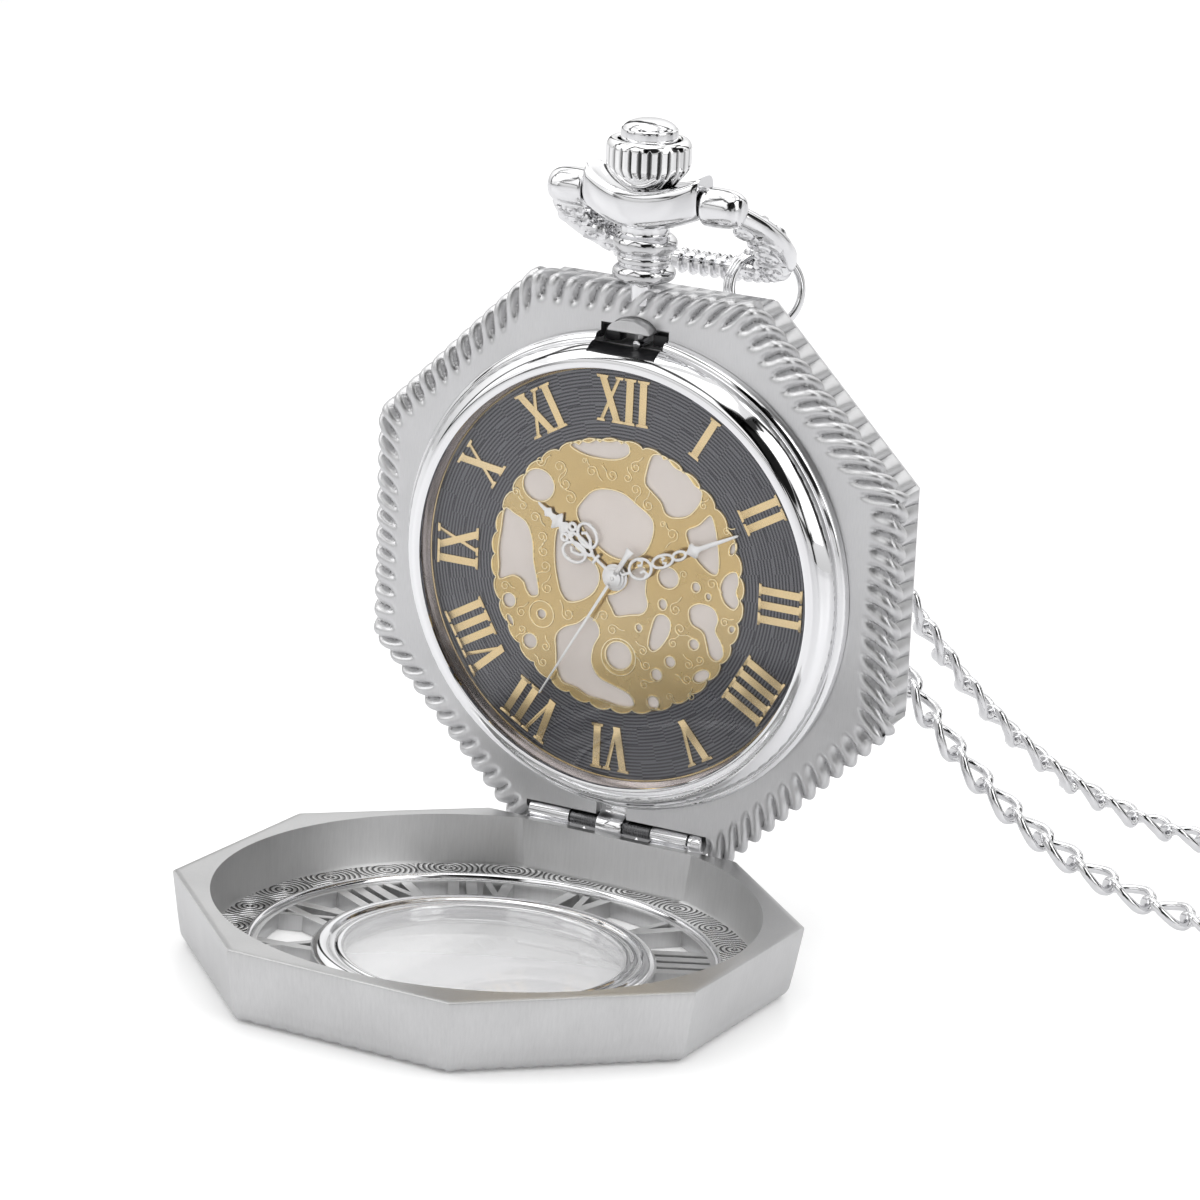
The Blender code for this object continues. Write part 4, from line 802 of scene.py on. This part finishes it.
def spiral(x, y, radius, start, hand, turns, shrink, count):
    """A line that winds in from the angle start, in degrees, as (x, y, share of its run)."""
    found = []
    for i in range(count):
        share = i / (count - 1)
        a = math.radians(start) + hand * share * turns * 2 * math.pi
        r = radius * (1 - shrink * share)
        found.append((x + r * math.cos(a), y + r * math.sin(a), share))
    return found


def scroll_line(x, y, radius, turn, hand, height):
    """A spiral of 1.3 turns with a short curved tail."""
    wound = spiral(x, y, 1.15 * radius, turn, hand, turns=1.3, shrink=0.72, count=22)
    wound = [(px, py, height) for px, py, _ in wound]
    out = Vector((math.cos(math.radians(turn)), math.sin(math.radians(turn)), 0))
    along = Vector((out.y, -out.x, 0)) * hand
    tail = [Vector(wound[0]) + (along * k + out * (0.25 * k * k)) * radius / 2 for k in (3, 2, 1)]
    return [tuple(point) for point in tail] + wound


def build_disc():
    windows = [spline(window, 5, True) for window in WINDOWS]
    ports = [circle(radius, 28, *shape) for radius, *shape in PORTS]
    edge = scalloped(11.8)
    disc = plate([edge, circle(0.8, 24)] + windows + ports, 1.42, DISC_TOP)
    make("gold_skeleton_disc", disc, GOLD, "skeleton_disc", sharp=30)
    rims = windows + ports + [[(x * 0.992, y * 0.992) for x, y in edge]]
    rims += [circle(1.15, 28, -6.8, -4.45), circle(1.6, 28, 0.55, -6.85)]
    rims = [at_height(rim, DISC_TOP) for rim in rims]
    make("disc_rims", tube(rims, 0.085, 6, closed=True), GOLD_EDGE, "skeleton_disc", adds=True)
    scrolls = tube([scroll_line(*scroll, DISC_TOP + 0.02) for scroll in SCROLLS], 0.062, 6)
    make("disc_scrolls", scrolls, GOLD_EDGE, "skeleton_disc", adds=True)


def build_hand(name, body, parts, height, angle):
    """Shows a hand that was made pointing along +y, turned clockwise by degrees."""
    mesh = moved(joined(parts), z=height, turn=-angle)
    make(f"{name}_hand_openwork", mesh, HAND_SILVER, f"{name}_hand", sharp=40, body=body)


def openwork(loops, lines, arrow, hub, hole, wire):
    """A hand's wire loops and lines, its symmetric arrow and its round hub."""
    wires = [tube([loop(*item) for item in loops], wire, 8, closed=True, flatten=0.55)]
    wires.append(tube(lines, wire, 8, flatten=0.55))
    outline = arrow + [(-x, y) for x, y in reversed(arrow) if x > 0]
    hub = plate([circle(hub, 48), circle(hole, 24)], -0.06, 0.06, 0.025)
    return wires + [plate([outline], -0.055, 0.055, 0.02), hub]


def both_sides(line):
    return [[(side * x, y) for x, y in line] for side in (-1, 1)]


def build_hands():
    arrow = [(0.0, 5.3), (0.24, 5.7), (0.7, 5.75), (0.5, 6.15), (0.28, 6.35), (0.85, 6.7), (0.85, 6.85)]
    arrow += [(0.34, 7.1), (0.24, 7.5), (0.5, 7.85), (0.2, 8.15), (0.1, 8.9), (0.0, 9.05)]
    loops = [(-1.0, 4.0, 0.82, 1.08, 22), (1.0, 4.0, 0.82, 1.08, -22), (0, 4.0, 0.42, 1.3)]
    loops += [(-0.62, 5.45, 0.28, 0.3), (0.62, 5.45, 0.28, 0.3)]
    lines = [[(0, 0.8), (0, 2.9)], [(-0.5, 2.2), (0.5, 2.2)], [(0, 4.9), (0, 5.9)]]
    lines += both_sides([(0.45, 3.2), (0.9, 3.6), (1.1, 4.2), (0.8, 4.5)])
    parts = openwork(loops, lines, arrow, hub=1.15, hole=0.66, wire=0.16)
    build_hand("hour", "hours", parts, height=1.78, angle=305.3)

    arrow = [(0.0, 7.1), (0.2, 7.5), (0.62, 7.9), (0.66, 8.1), (0.3, 8.4), (0.2, 8.7), (0.2, 9.5)]
    loops = [(0, 2.7, 0.85, 1.05), (0, 4.95, 0.5, 1.0), (0, 6.6, 0.34, 0.62)]
    lines = [[(0, 0.7), (0, 1.7)], [(0, 7.1), (0, 7.5)]]
    lines += both_sides([(0.85, 2.7), (0.55, 3.15), (0.25, 2.95), (0.3, 2.6)])
    lines += both_sides([(0.5, 4.9), (0.2, 5.2), (0.12, 4.9)])
    arrow += [(0.11, 12.3), (0.0, 12.5)]
    parts = openwork(loops, lines, arrow, hub=0.95, hole=0.4, wire=0.14)
    build_hand("minute", "minutes", parts, height=2.0, angle=63.5)

    blade = [(0.0, 12.9), (0.075, 12.8), (0.13, 0.5), (-0.13, 0.5), (-0.075, 12.8)]
    tail = [(0.2, -0.4), (0.22, -2.4), (0.38, -3.1), (-0.38, -3.1), (-0.22, -2.4), (-0.2, -0.4)]
    parts = [plate([outline], -0.045, 0.045, 0.015) for outline in (blade, tail, circle(0.75, 40))]
    parts.append(turned(softened([(AXIS, 0.1), (0.16, 0.09), (0.2, 0.02), (0.2, -0.02)], 1), 24))
    build_hand("second", "seconds", parts, height=2.215, angle=210.0)


# ---------- crown, pendant and bow


def build_crown(flutes=26, per_flute=12, flute_depth=0.30):
    profile = [(2.55, 34.2), (2.55, 36.1), (2.7, 36.3), (3.05, 36.3), (3.3, 36.1), (3.47, 35.75)]
    profile += [(3.48, 35.4), (3.48, 34.5), (3.46, 34.1), (3.3, 33.8), (3.0, 33.4), (2.6, 32.9), (2.2, 32.45)]
    line = np.array(spline(softened(profile + [(1.6, 32.3), (0.62, 32.3)], 1), 3))
    columns = flutes * per_flute
    angles = np.array(full_turn(columns))
    ridge = np.abs(2 * (np.arange(columns) / per_flute % 1.0) - 1)
    groove = np.clip(1 - ridge / 0.5, 0, 1) ** 0.8
    radius, height = line[:, :1], line[:, 1:]
    top = 35.75 - 0.45 * ridge
    share = (radius > 2.9) * smoothstep(33.35, 33.6, height) * (1 - smoothstep(0, 0.14, height - top))
    radius = radius - flute_depth * share * groove
    points = [radius * np.cos(angles), radius * np.sin(angles), np.broadcast_to(height, radius.shape)]
    mesh = grid_mesh(np.stack(points, -1))
    with_groove(mesh, share * groove)
    make("fluted_crown", on_stem(mesh), CROWN_METAL, "crown", sharp=40, body="crown")
    cap = [(AXIS, 37.86), (0.9, 37.82), (1.6, 37.62), (2.05, 37.34), (2.2, 37.1), (2.34, 37.05)]
    cap += [(2.34, 35.7), (2.1, 35.6), (0.6, 35.6)]
    make("domed_button", on_stem(turned(softened(cap), 96)), POLISHED, "push_button", body="button")


def cup_mesh(reach=5.15, rows=49, columns=48):
    """Boat-shaped saddle: a thick crescent, hollowed on top, between the two knobs."""
    points = np.zeros((rows, columns, 3))
    for i in range(rows):
        x = reach * (2 * i / (rows - 1) - 1)
        share = abs(x) / reach
        middle = 30.9 + 1.25 * share**1.8
        pinch = 1.0 if share < 0.97 else 0.93
        half = (2.0 - 0.2 * share**1.6) * pinch
        deep = 2.95 - 1.3 * share**2
        dip = 1.75 * (1 - share**2.4)
        for j, a in enumerate(full_turn(columns)):
            rise = signed_power(math.cos(a), 0.62) * half
            z = signed_power(math.sin(a), 0.62) * deep * pinch
            if rise > 0:
                rise -= dip * math.exp(-((z / (deep * 0.66)) ** 4))
            points[i, j] = (x, middle + rise, z - STEM_DEPTH)
    mesh = grid_mesh(points)
    with editing(mesh) as work:
        bmesh.ops.holes_fill(work, edges=[e for e in work.edges if e.is_boundary])
        bmesh.ops.recalc_face_normals(work, faces=work.faces)
    return mesh


def build_pendant():
    neck = [(1.1, 22.6), (1.12, 24.3), (1.45, 24.42), (1.6, 24.5), (2.2, 24.6), (2.6, 24.95), (2.62, 25.45)]
    neck += [(2.25, 25.85), (2.02, 25.95), (2.02, 26.02), (2.22, 26.15), (2.27, 26.4), (2.22, 26.65)]
    neck += [(2.02, 26.78), (2.02, 26.85), (2.35, 27.0), (2.64, 27.45), (2.66, 27.95), (2.3, 28.35)]
    neck += [(1.98, 28.5), (1.95, 29.0), (2.1, 29.5)]
    mesh = joined([on_stem(turned(softened(neck), 96)), cup_mesh()])
    make("pendant_neck_and_cup", mesh, POLISHED, "pendant", sharp=38)


def bow_line():
    half = [(7.3, 0.2), (8.3, 1.6), (9.2, 3.6), (9.55, 6.0), (9.3, 8.6), (8.3, 11.0), (6.6, 12.6)]
    half += [(4.2, 13.35), (2.0, 13.65)]
    return spline(at_height(half + [(0, 13.7)] + [(-x, y) for x, y in reversed(half)], 0.0), 8)


def bow_beads(line, bar_starts=11.9, spacing=0.85):
    """Rings of wire along the bow's bar, a bead's width apart."""
    beads = []
    travelled = 0.0
    for point, nearby in zip(line, line[1:]):
        along = Vector(nearby) - Vector(point)
        travelled += along.length
        if point[1] > bar_starts and travelled > spacing:
            travelled = 0.0
            bead = tube([loop(0, 0, 0.84, 0.84, count=20)], 0.28, 8, closed=True)
            bead.transform(along.to_track_quat("Z", "Y").to_matrix().to_4x4())
            beads.append(moved(bead, *point))
    return beads


def pearl(x, y, z, radius):
    mesh = bpy.data.meshes.new("pearl")
    with editing(mesh) as work:
        bmesh.ops.create_icosphere(work, subdivisions=3, radius=radius * MM)
    return moved(mesh, x, y, z)


# Curls on the bow's arms: x, y, radius of the spiral, angle of its free end, hand, radius of its pearl
CURLS = (
    (8.0, 3.0, 1.15, 0, 1, 0.36),
    (8.5, 5.4, 1.3, 20, -1, 0.4),
    (8.2, 8.0, 1.3, 40, 1, 0.4),
    (7.1, 10.3, 1.2, 60, -1, 0.36),
    (5.2, 11.9, 1.0, 90, 1, None),
)
CURL_HEIGHT, PEARL_HEIGHT, CURL_RISE = 0.62, 0.8, 0.25


def build_bow():
    line = bow_line()
    thick = [0.80 + 0.12 * max(0.0, 1 - abs(y - 6.5) / 7.2) for _, y, _ in line]
    parts = [tube([line], thick, 12)] + bow_beads(line)
    curls = []
    knob = [(AXIS, 3.5), (0.75, 3.46), (1.2, 3.2), (1.5, 2.6), (1.62, 1.9), (1.62, 0.3), (1.5, 0.06)]
    knob = softened(knob + [(1.2, 0.0), (0.6, 0.0)])
    for side in (-1, 1):
        for *curl, pearl_radius in CURLS:
            wound = spiral(*curl, turns=1.4, shrink=0.8, count=26)
            proud = [(side * x, y, CURL_RISE * share + CURL_HEIGHT) for x, y, share in wound]
            for face in (1, -1):
                curls.append([(x, y, face * z) for x, y, z in proud])
                if pearl_radius:
                    parts.append(pearl(side * curl[0], curl[1], face * PEARL_HEIGHT, pearl_radius))
        parts.append(moved(turned(knob, 64), side * 5.3, turn=side * 90, axis="Y"))
    parts.append(tube(curls, [0.44 - 0.01 * i for i in range(26)], 8))
    make("scrolled_bow", joined(parts), CAST, "bow", sharp=40, place=BOW, body="bow")


# ---------- lid and hinge


def lid_section():
    rim = [(22.9, 0.0), (23.3, 0.0), (23.46, -0.06), (23.5, -0.22)]
    wall = [(23.5 - 0.13 * i, -0.22 - 0.9 * i) for i in range(1, 5)]
    bend = [(22.9, -4.3), (22.82, -4.7), (22.75, -5.2), (22.5, -5.75), (22.1, -6.02), (21.2, LID_FACE)]
    sides = flat_sided(rim + wall + softened(bend)[1:] + [(20.4, LID_FACE)])
    return round_sided([(0.01, 0.0)]) + sides + round_sided([(0.01, LID_FACE)])


def cavity(chord=20.6):
    """The lid's hollow: a shallow drum that is cut off flat beside the hinge."""
    profile = [(22.16, 0.5), (22.1, 0.0), (21.95, -4.0), (21.8, LID_FLOOR)]
    mesh = turned([(AXIS, 0.5)] + profile + [(AXIS, LID_FLOOR)], 160)
    with editing(mesh) as work:
        everything = work.verts[:] + work.edges[:] + work.faces[:]
        plane = {"plane_co": (0, chord * MM, 0), "plane_no": (0, 1, 0), "clear_outer": True}
        cut = bmesh.ops.bisect_plane(work, geom=everything, **plane)
        rim = [e for e in cut["geom_cut"] if isinstance(e, bmesh.types.BMEdge)]
        bmesh.ops.contextual_create(work, geom=rim)
        bmesh.ops.recalc_face_normals(work, faces=work.faces)
    return mesh


def build_lid():
    section = lid_section()
    pairs = zip(section, section[1:])
    rope_begins = sum(math.dist(a[:2], b[:2]) for a, b in pairs if a[1] > -4.5 or a[0] < 1)
    start, stop, marked_from = (rope_begins + further for further in (0.9, 3.6, 1.0))
    mesh = roped_shell(section, start, stop, 0.30, 0.0, marked_from, marked_above=LID_FACE + 0.001)
    mesh = carved(mesh, [cavity()], material_index=2)
    through = turned([(AXIS, 1), (18.85, 1), (18.85, -8), (AXIS, -8)], 160)
    mesh = carved(mesh, [through, block((-14, 21.35, -8), (14, 27, 1))], material_index=0)
    make_on_lid("lid_body", mesh, [LID_SATIN, ROPE, INNER_SATIN], "lid_shell", sharp=30)
    cut_off = [(x, min(y, 20.5)) for x, y in circle(21.9, 200)]
    floor = plate([cut_off, circle(19.05, 160)], LID_FLOOR - 0.02, LID_FLOOR + 0.03)
    make_on_lid("lid_bullseye_ring", floor, TURNING, "lid_shell", adds=True)
    step = [(19.06, -4.25), (19.06, -4.12), (18.75, -4.12), (18.55, -4.35), (18.5, -4.8), (18.86, -4.85)]
    step = turned(softened(step + [(18.86, -4.35)], 1), 160, closed=True)
    make_on_lid("lid_step_ring", step, POLISHED, "lid_shell", adds=True)


def build_pierced_ring(low=-6.04, high=-4.62):
    """Roman numerals as bars that bridge an open ring, read from outside when the lid is shut."""
    rings = ((18.84, 18.2), (13.9, 11.3))
    parts = [plate([circle(outer, 160), circle(inner, 160)], low, high, 0.08) for outer, inner in rings]
    for hour, text in enumerate(NUMERALS):
        bars, _ = numeral_strokes(text, height=4.9, thick=0.95, thin=0.6, scale=1.25)
        for number, bar in enumerate(bars):
            mesh = plate([bar], low + 0.01, high - 0.02 - 0.01 * number, 0.07)
            moved(moved(mesh, y=16.05), turn=-30 * hour).transform(Matrix.Diagonal((1, -1, 1, 1)))
            mesh.flip_normals()
            parts.append(mesh)
    make_on_lid("lid_pierced_numerals", joined(parts), LID_SATIN, "lid_shell", adds=True, sharp=30)


def build_lens():
    lip = [(11.2, -5.2), (11.2, -4.5), (11.6, -4.3), (12.0, -4.45), (12.35, -4.45), (12.6, -4.2)]
    lip += [(13.1, -4.1), (13.6, -4.3), (13.85, -4.64), (13.6, -4.8), (11.6, -5.3)]
    make_on_lid("lens_seat_ring", turned(softened(lip), 160, closed=True), POLISHED, "lens_ring")
    shares = (AXIS, 0.2, 0.4, 0.6, 0.8, 0.92, 1.0)
    mesh = dome(radius=12.0, edge=-4.42, rise=0.5, thickness=0.75, shares=shares)
    make_on_lid("domed_lens", mesh, LENS, "lid_lens")


def barrel(bore, radius, length, inset, edge):
    """A hollow knuckle with eased edges."""
    near = [(bore, 0), (radius - inset, 0), (radius, edge)]
    return turned(softened(near + [(r, length - height) for r, height in reversed(near)], 1), 48)


def build_lid_hinge():
    parts = []
    for low, high in ((-8.1, -4.25), (3.45, 6.85)):
        knuckle = barrel(bore=0.42, radius=0.72, length=high - low, inset=0.08, edge=0.08)
        parts.append(on_hinge(knuckle, low, 1, LID_HINGE_RISE))
        parts.append(block((low, 21.0, -0.75), (high, 22.25, -0.02), 0.06))
    make_on_lid("lid_knuckles", joined(parts), POLISHED, "lid_shell", adds=True, sharp=30)
    pin = [(AXIS, 8.3), (0.6, 8.3), (0.8, 8.15), (0.82, 7.6), (0.8, 7.1), (0.62, 6.98), (0.34, 6.95)]
    pin = turned(softened(pin + [(0.34, -8.0), (AXIS, -8.0)], 1), 40)
    make("hinge_pin_and_collar", on_hinge(pin, 0, -1, -HINGE_DEPTH), POLISHED, "hinge_pin")


def build_lift_spring():
    line = [(-20.65, -0.52), (-21.4, -0.45), (-21.85, 0.25), (-22.5, 0.53), (-23.1, 0.33), (-23.33, -0.17)]
    columns = ((-1.53, 0.04), (-1.48, 0.0), (0.82, 0.0), (0.87, 0.04))
    rows = [[(x, y, z - dropped) for y, z in spline(line)] for x, dropped in columns]
    holder = linked(grid_mesh(np.array(rows), wrap_columns=False))
    solid = holder.modifiers.new("thickness", "SOLIDIFY")
    solid.thickness = 0.2 * MM
    solid.offset = -1
    make("lift_spring_tongue", cleaned(baked(holder)), POLISHED, "lift_spring", sharp=50)


# ---------- ring and chain

LINK_HALF_LENGTH, LINK_HALF_WIDTH, LINK_WIRE = 2.05, 1.43, 0.39
JOINED_OVERHANG, HINGED_OVERHANG = 0.30, 0.54
CHAIN_REST, SET_BACK = 1.45, 2.0
FALL = {"upper": 0.0438, "lower": 0.0384}
LINKS = 5
SEGMENTS = 4


def strand_point(x, start, heading, fall):
    """A place on a strand, which falls as a curve of the fourth power to rest on the table."""
    reach = start.x + (start.z - CHAIN_REST) ** 0.25 / fall
    height = CHAIN_REST + (fall * (reach - x)) ** 4
    run = x - start.x
    return Vector((x, start.y + heading * run + SET_BACK * (1 - math.exp(-run / SET_BACK)), height))


def next_contact(here, length, *strand):
    """The point of the strand that lies a length from here, found by halving."""
    low, high = here.x, here.x + length
    for _ in range(40):
        middle = (low + high) / 2
        if (strand_point(middle, *strand) - here).length < length:
            low = middle
        else:
            high = middle
    return strand_point(low, *strand)


def link_line(here, there, overhang, heading):
    """Centre line of a curb link: an oval twisted so that its two ends stand at right angles."""
    along = (there - here).normalized()
    across = Vector((-heading, 1, 0)).normalized()
    other = along.cross(across)
    centre = here + along * (LINK_HALF_LENGTH - overhang)
    found = []
    for a in full_turn(40):
        twist = math.radians(45) * math.cos(a)
        width = across * math.cos(twist) + other * math.sin(twist)
        lengthways = along * LINK_HALF_LENGTH * signed_power(math.cos(a), 0.85)
        found.append(tuple(centre + lengthways + width * LINK_HALF_WIDTH * math.sin(a)))
    return found


def build_strand(name, fall):
    first_hinge = f"{name}_strand_hinge_1"
    axis = JOINTS[first_hinge]["axis"]
    heading = -axis[0] / axis[1]
    start = here = joint_place(first_hinge) / MM
    for number in range(1, SEGMENTS + 1):
        lines = []
        for i in range(LINKS):
            first = HINGED_OVERHANG if i == 0 else JOINED_OVERHANG
            last = HINGED_OVERHANG if i == LINKS - 1 else JOINED_OVERHANG
            there = next_contact(here, 2 * LINK_HALF_LENGTH - first - last, start, heading, fall)
            lines.append(link_line(here, there, first, heading))
            here = there
        hangs = {"place": Matrix.Identity(4), "body": f"{name}_strand_{number}"}
        mesh = tube(lines, LINK_WIRE, 12, closed=True)
        make(f"{name}_strand_links_{number}", mesh, CHAIN_METAL, f"chain_{name}_{number}", sharp=60, **hangs)


def build_ring(turns=2.9, count=150, radius=3.38, narrowing=0.42, pitch=0.95):
    """Split ring: flat turns that lie side by side, across the CAD ring's own plane."""
    points = np.array([v.co for v in frame["nodes"]["jump_ring"].data.vertices], float)
    centre = points.mean(0)
    basis = np.linalg.svd(points - centre)[2]
    side, normal = Vector(basis[0]), Vector(basis[2])
    line = []
    for i in range(count + 1):
        share = i / count
        a = 2 * math.pi * turns * share
        r = radius - narrowing * share
        line.append((r * math.cos(a), r * math.sin(a), pitch * (share - 0.5)))
    place = placed(Vector(centre), side, normal.cross(side), normal)
    make("split_ring", tube([line], 0.29, 12), POLISHED, "jump_ring", sharp=60, place=place, body="ring")


# ---------- hidden works

# Finishes of the works. Their wheels are brass, and what isn't named here is steel
WORKS = {
    "movement_holder": NYLON,
    "mainplate": BRASS,
    "train_bridge": BRASS,
    "motor_coil": COPPER,
    "battery": POLISHED,
    "circuit_board": BOARD,
}


def dress_works():
    """Gives its finish to each CAD node that no piece stands for."""
    for name, node in frame["nodes"].items():
        if not node.hide_render:
            finish = BRASS if name.endswith("_wheel") else WORKS.get(name, STEEL)
            node.data.materials.clear()
            node.data.materials.append(finish)


# ---------- studio

# The sockets for colours on a Mix node, which share their names with its other sockets
MIX_COLOUR_A, MIX_COLOUR_B, MIX_COLOUR = 6, 7, 2


def build_floor():
    mesh = bpy.data.meshes.new("floor")
    with editing(mesh) as work:
        bmesh.ops.create_grid(work, x_segments=1, y_segments=1, size=3.0)
    shader = Shader("pale_floor")
    tone = shader.ramp(shader.noise(6, 2), (0.3, 0.93), (0.7, 0.95))
    # Mirrored rays see the floor a darker grey than the camera does: painted shade in the metal's reflections
    # of it
    mirrored = shader.node("LightPath").outputs["Is Glossy Ray"]
    colours = {"Factor": mirrored, MIX_COLOUR_A: tone, MIX_COLOUR_B: (0.62, 0.62, 0.63, 1)}
    mixed = shader.node("Mix", colours, data_type="RGBA").outputs[MIX_COLOUR]
    shader.set(Base_Color=mixed, Roughness=0.28)
    shader.set(Emission_Color=(1, 1, 1, 1), Emission_Strength=0.12)
    mesh.materials.append(shader.material)
    linked(mesh, "floor")


def area_light(name, place, width, height, power, aim=(0, 0, 0.03)):
    data = bpy.data.lights.new(name, "AREA")
    data.shape = "RECTANGLE"
    data.size = width
    data.size_y = height
    data.energy = power
    light = linked(data, name)
    light.location = place
    light.rotation_euler = (Vector(aim) - Vector(place)).to_track_quat("-Z", "Y").to_euler()


# Dark gaps between the tent's panels: direction, place along it, half width, darkness left
TENT_GAPS = (
    ((0.6, 0.75, -0.1), 0.15, 0.07, 0.03),
    ((-0.75, 0.5, 0.43), 0.30, 0.06, 0.04),
    ((0.9, -0.25, 0.2), 0.62, 0.07, 0.03),
    ((-0.55, -0.75, 0.36), 0.70, 0.045, 0.05),
    ((0.1, -0.35, 0.93), 0.52, 0.04, 0.08),
)
# Dark patches: direction, cosine where it is darkest, cosine where it ends, darkness left
TENT_PATCHES = (
    ((0.45, -0.70, 0.55), 0.945, 0.92, 0.01),
    ((0.85, 0.35, 0.40), 0.965, 0.93, 0.03),
    ((-0.80, -0.55, -0.05), 0.96, 0.90, 0.15),
)


def build_world():
    """A pale tent for metal to mirror: bright above, grey at the sides, dark in a few gaps and patches.
    Only mirrored rays see its pattern, so it lights the floor evenly and stays white in view."""
    world = bpy.data.worlds.new("tent")
    bpy.context.scene.world = world
    world.use_nodes = True
    nodes = Nodes(world.node_tree)
    where = nodes.node("TexCoord").outputs["Generated"]

    def smooth(value, low, high, first, last):
        limits = {"Value": value, "From Min": low, "From Max": high, "To Min": first, "To Max": last}
        return nodes.node("MapRange", limits, interpolation_type="SMOOTHSTEP")

    def towards(direction):
        vectors = {0: where, 1: Vector(direction).normalized()}
        return nodes.node("VectorMath", vectors, operation="DOT_PRODUCT").outputs["Value"]

    bend = nodes.node("TexNoise", {"Vector": where, "Scale": 1.6, "Detail": 1.0})
    wave = nodes.math("MULTIPLY_ADD", bend, 0.5, -0.25)
    shade = smooth(towards((0, 0, 1)), -0.1, 0.7, 0.62, 1.3)
    for direction, centre, width, dark in TENT_GAPS:
        level = nodes.math("ADD", towards(direction), nodes.math("SUBTRACT", wave, centre))
        gap = smooth(nodes.math("ABSOLUTE", level), width * 0.7, width * 1.5, dark, 1.0)
        shade = nodes.math("MULTIPLY", shade, gap)
    for direction, inner, outer, dark in TENT_PATCHES:
        shade = nodes.math("MULTIPLY", shade, smooth(towards(direction), outer, inner, 1.0, dark))
    mirrored = nodes.node("LightPath").outputs["Is Glossy Ray"]
    seen = nodes.node("Mix", {"Factor": mirrored, "A": 1.0, "B": shade})
    background = nodes.tree.nodes["Background"]
    nodes.put(background.inputs["Color"], seen)
    background.inputs["Strength"].default_value = 1.0


def build_camera():
    """The photograph's view, placed from the lid's hinge."""
    data = bpy.data.cameras.new("camera")
    data.lens = 135
    data.sensor_width = 36
    data.clip_start = 0.01
    data.clip_end = 20
    right = Vector((0.8846, 0.4617, 0.0653)).normalized()
    back = Vector((0.4333, -0.8656, 0.2510)).normalized()
    up = back.cross(right).normalized()
    eye = joint_place("lid_hinge") + Vector((159.69, -324.96, 113.35)) * MM
    camera = linked(data, "camera")
    camera.matrix_world = placed(eye, up.cross(back), up, back)
    bpy.context.scene.camera = camera


build_case()
build_back()
build_bezel()
build_latch()
build_glass()
build_dial()
build_disc()
build_hands()
build_crown()
build_pendant()
build_bow()
build_lid()
build_pierced_ring()
build_lens()
build_lid_hinge()
build_lift_spring()
for strand, strand_fall in FALL.items():
    build_strand(strand, strand_fall)
build_ring()
dress_works()
build_floor()
build_world()
area_light("top_softbox", (0.0, 0.05, 0.6), 0.6, 0.6, 0.9)
area_light("left_softbox", (-0.45, -0.3, 0.3), 0.35, 0.5, 0.5)
area_light("right_softbox", (0.5, -0.1, 0.35), 0.3, 0.5, 0.5)
build_camera()
bpy.context.scene.view_settings.view_transform = "Standard"
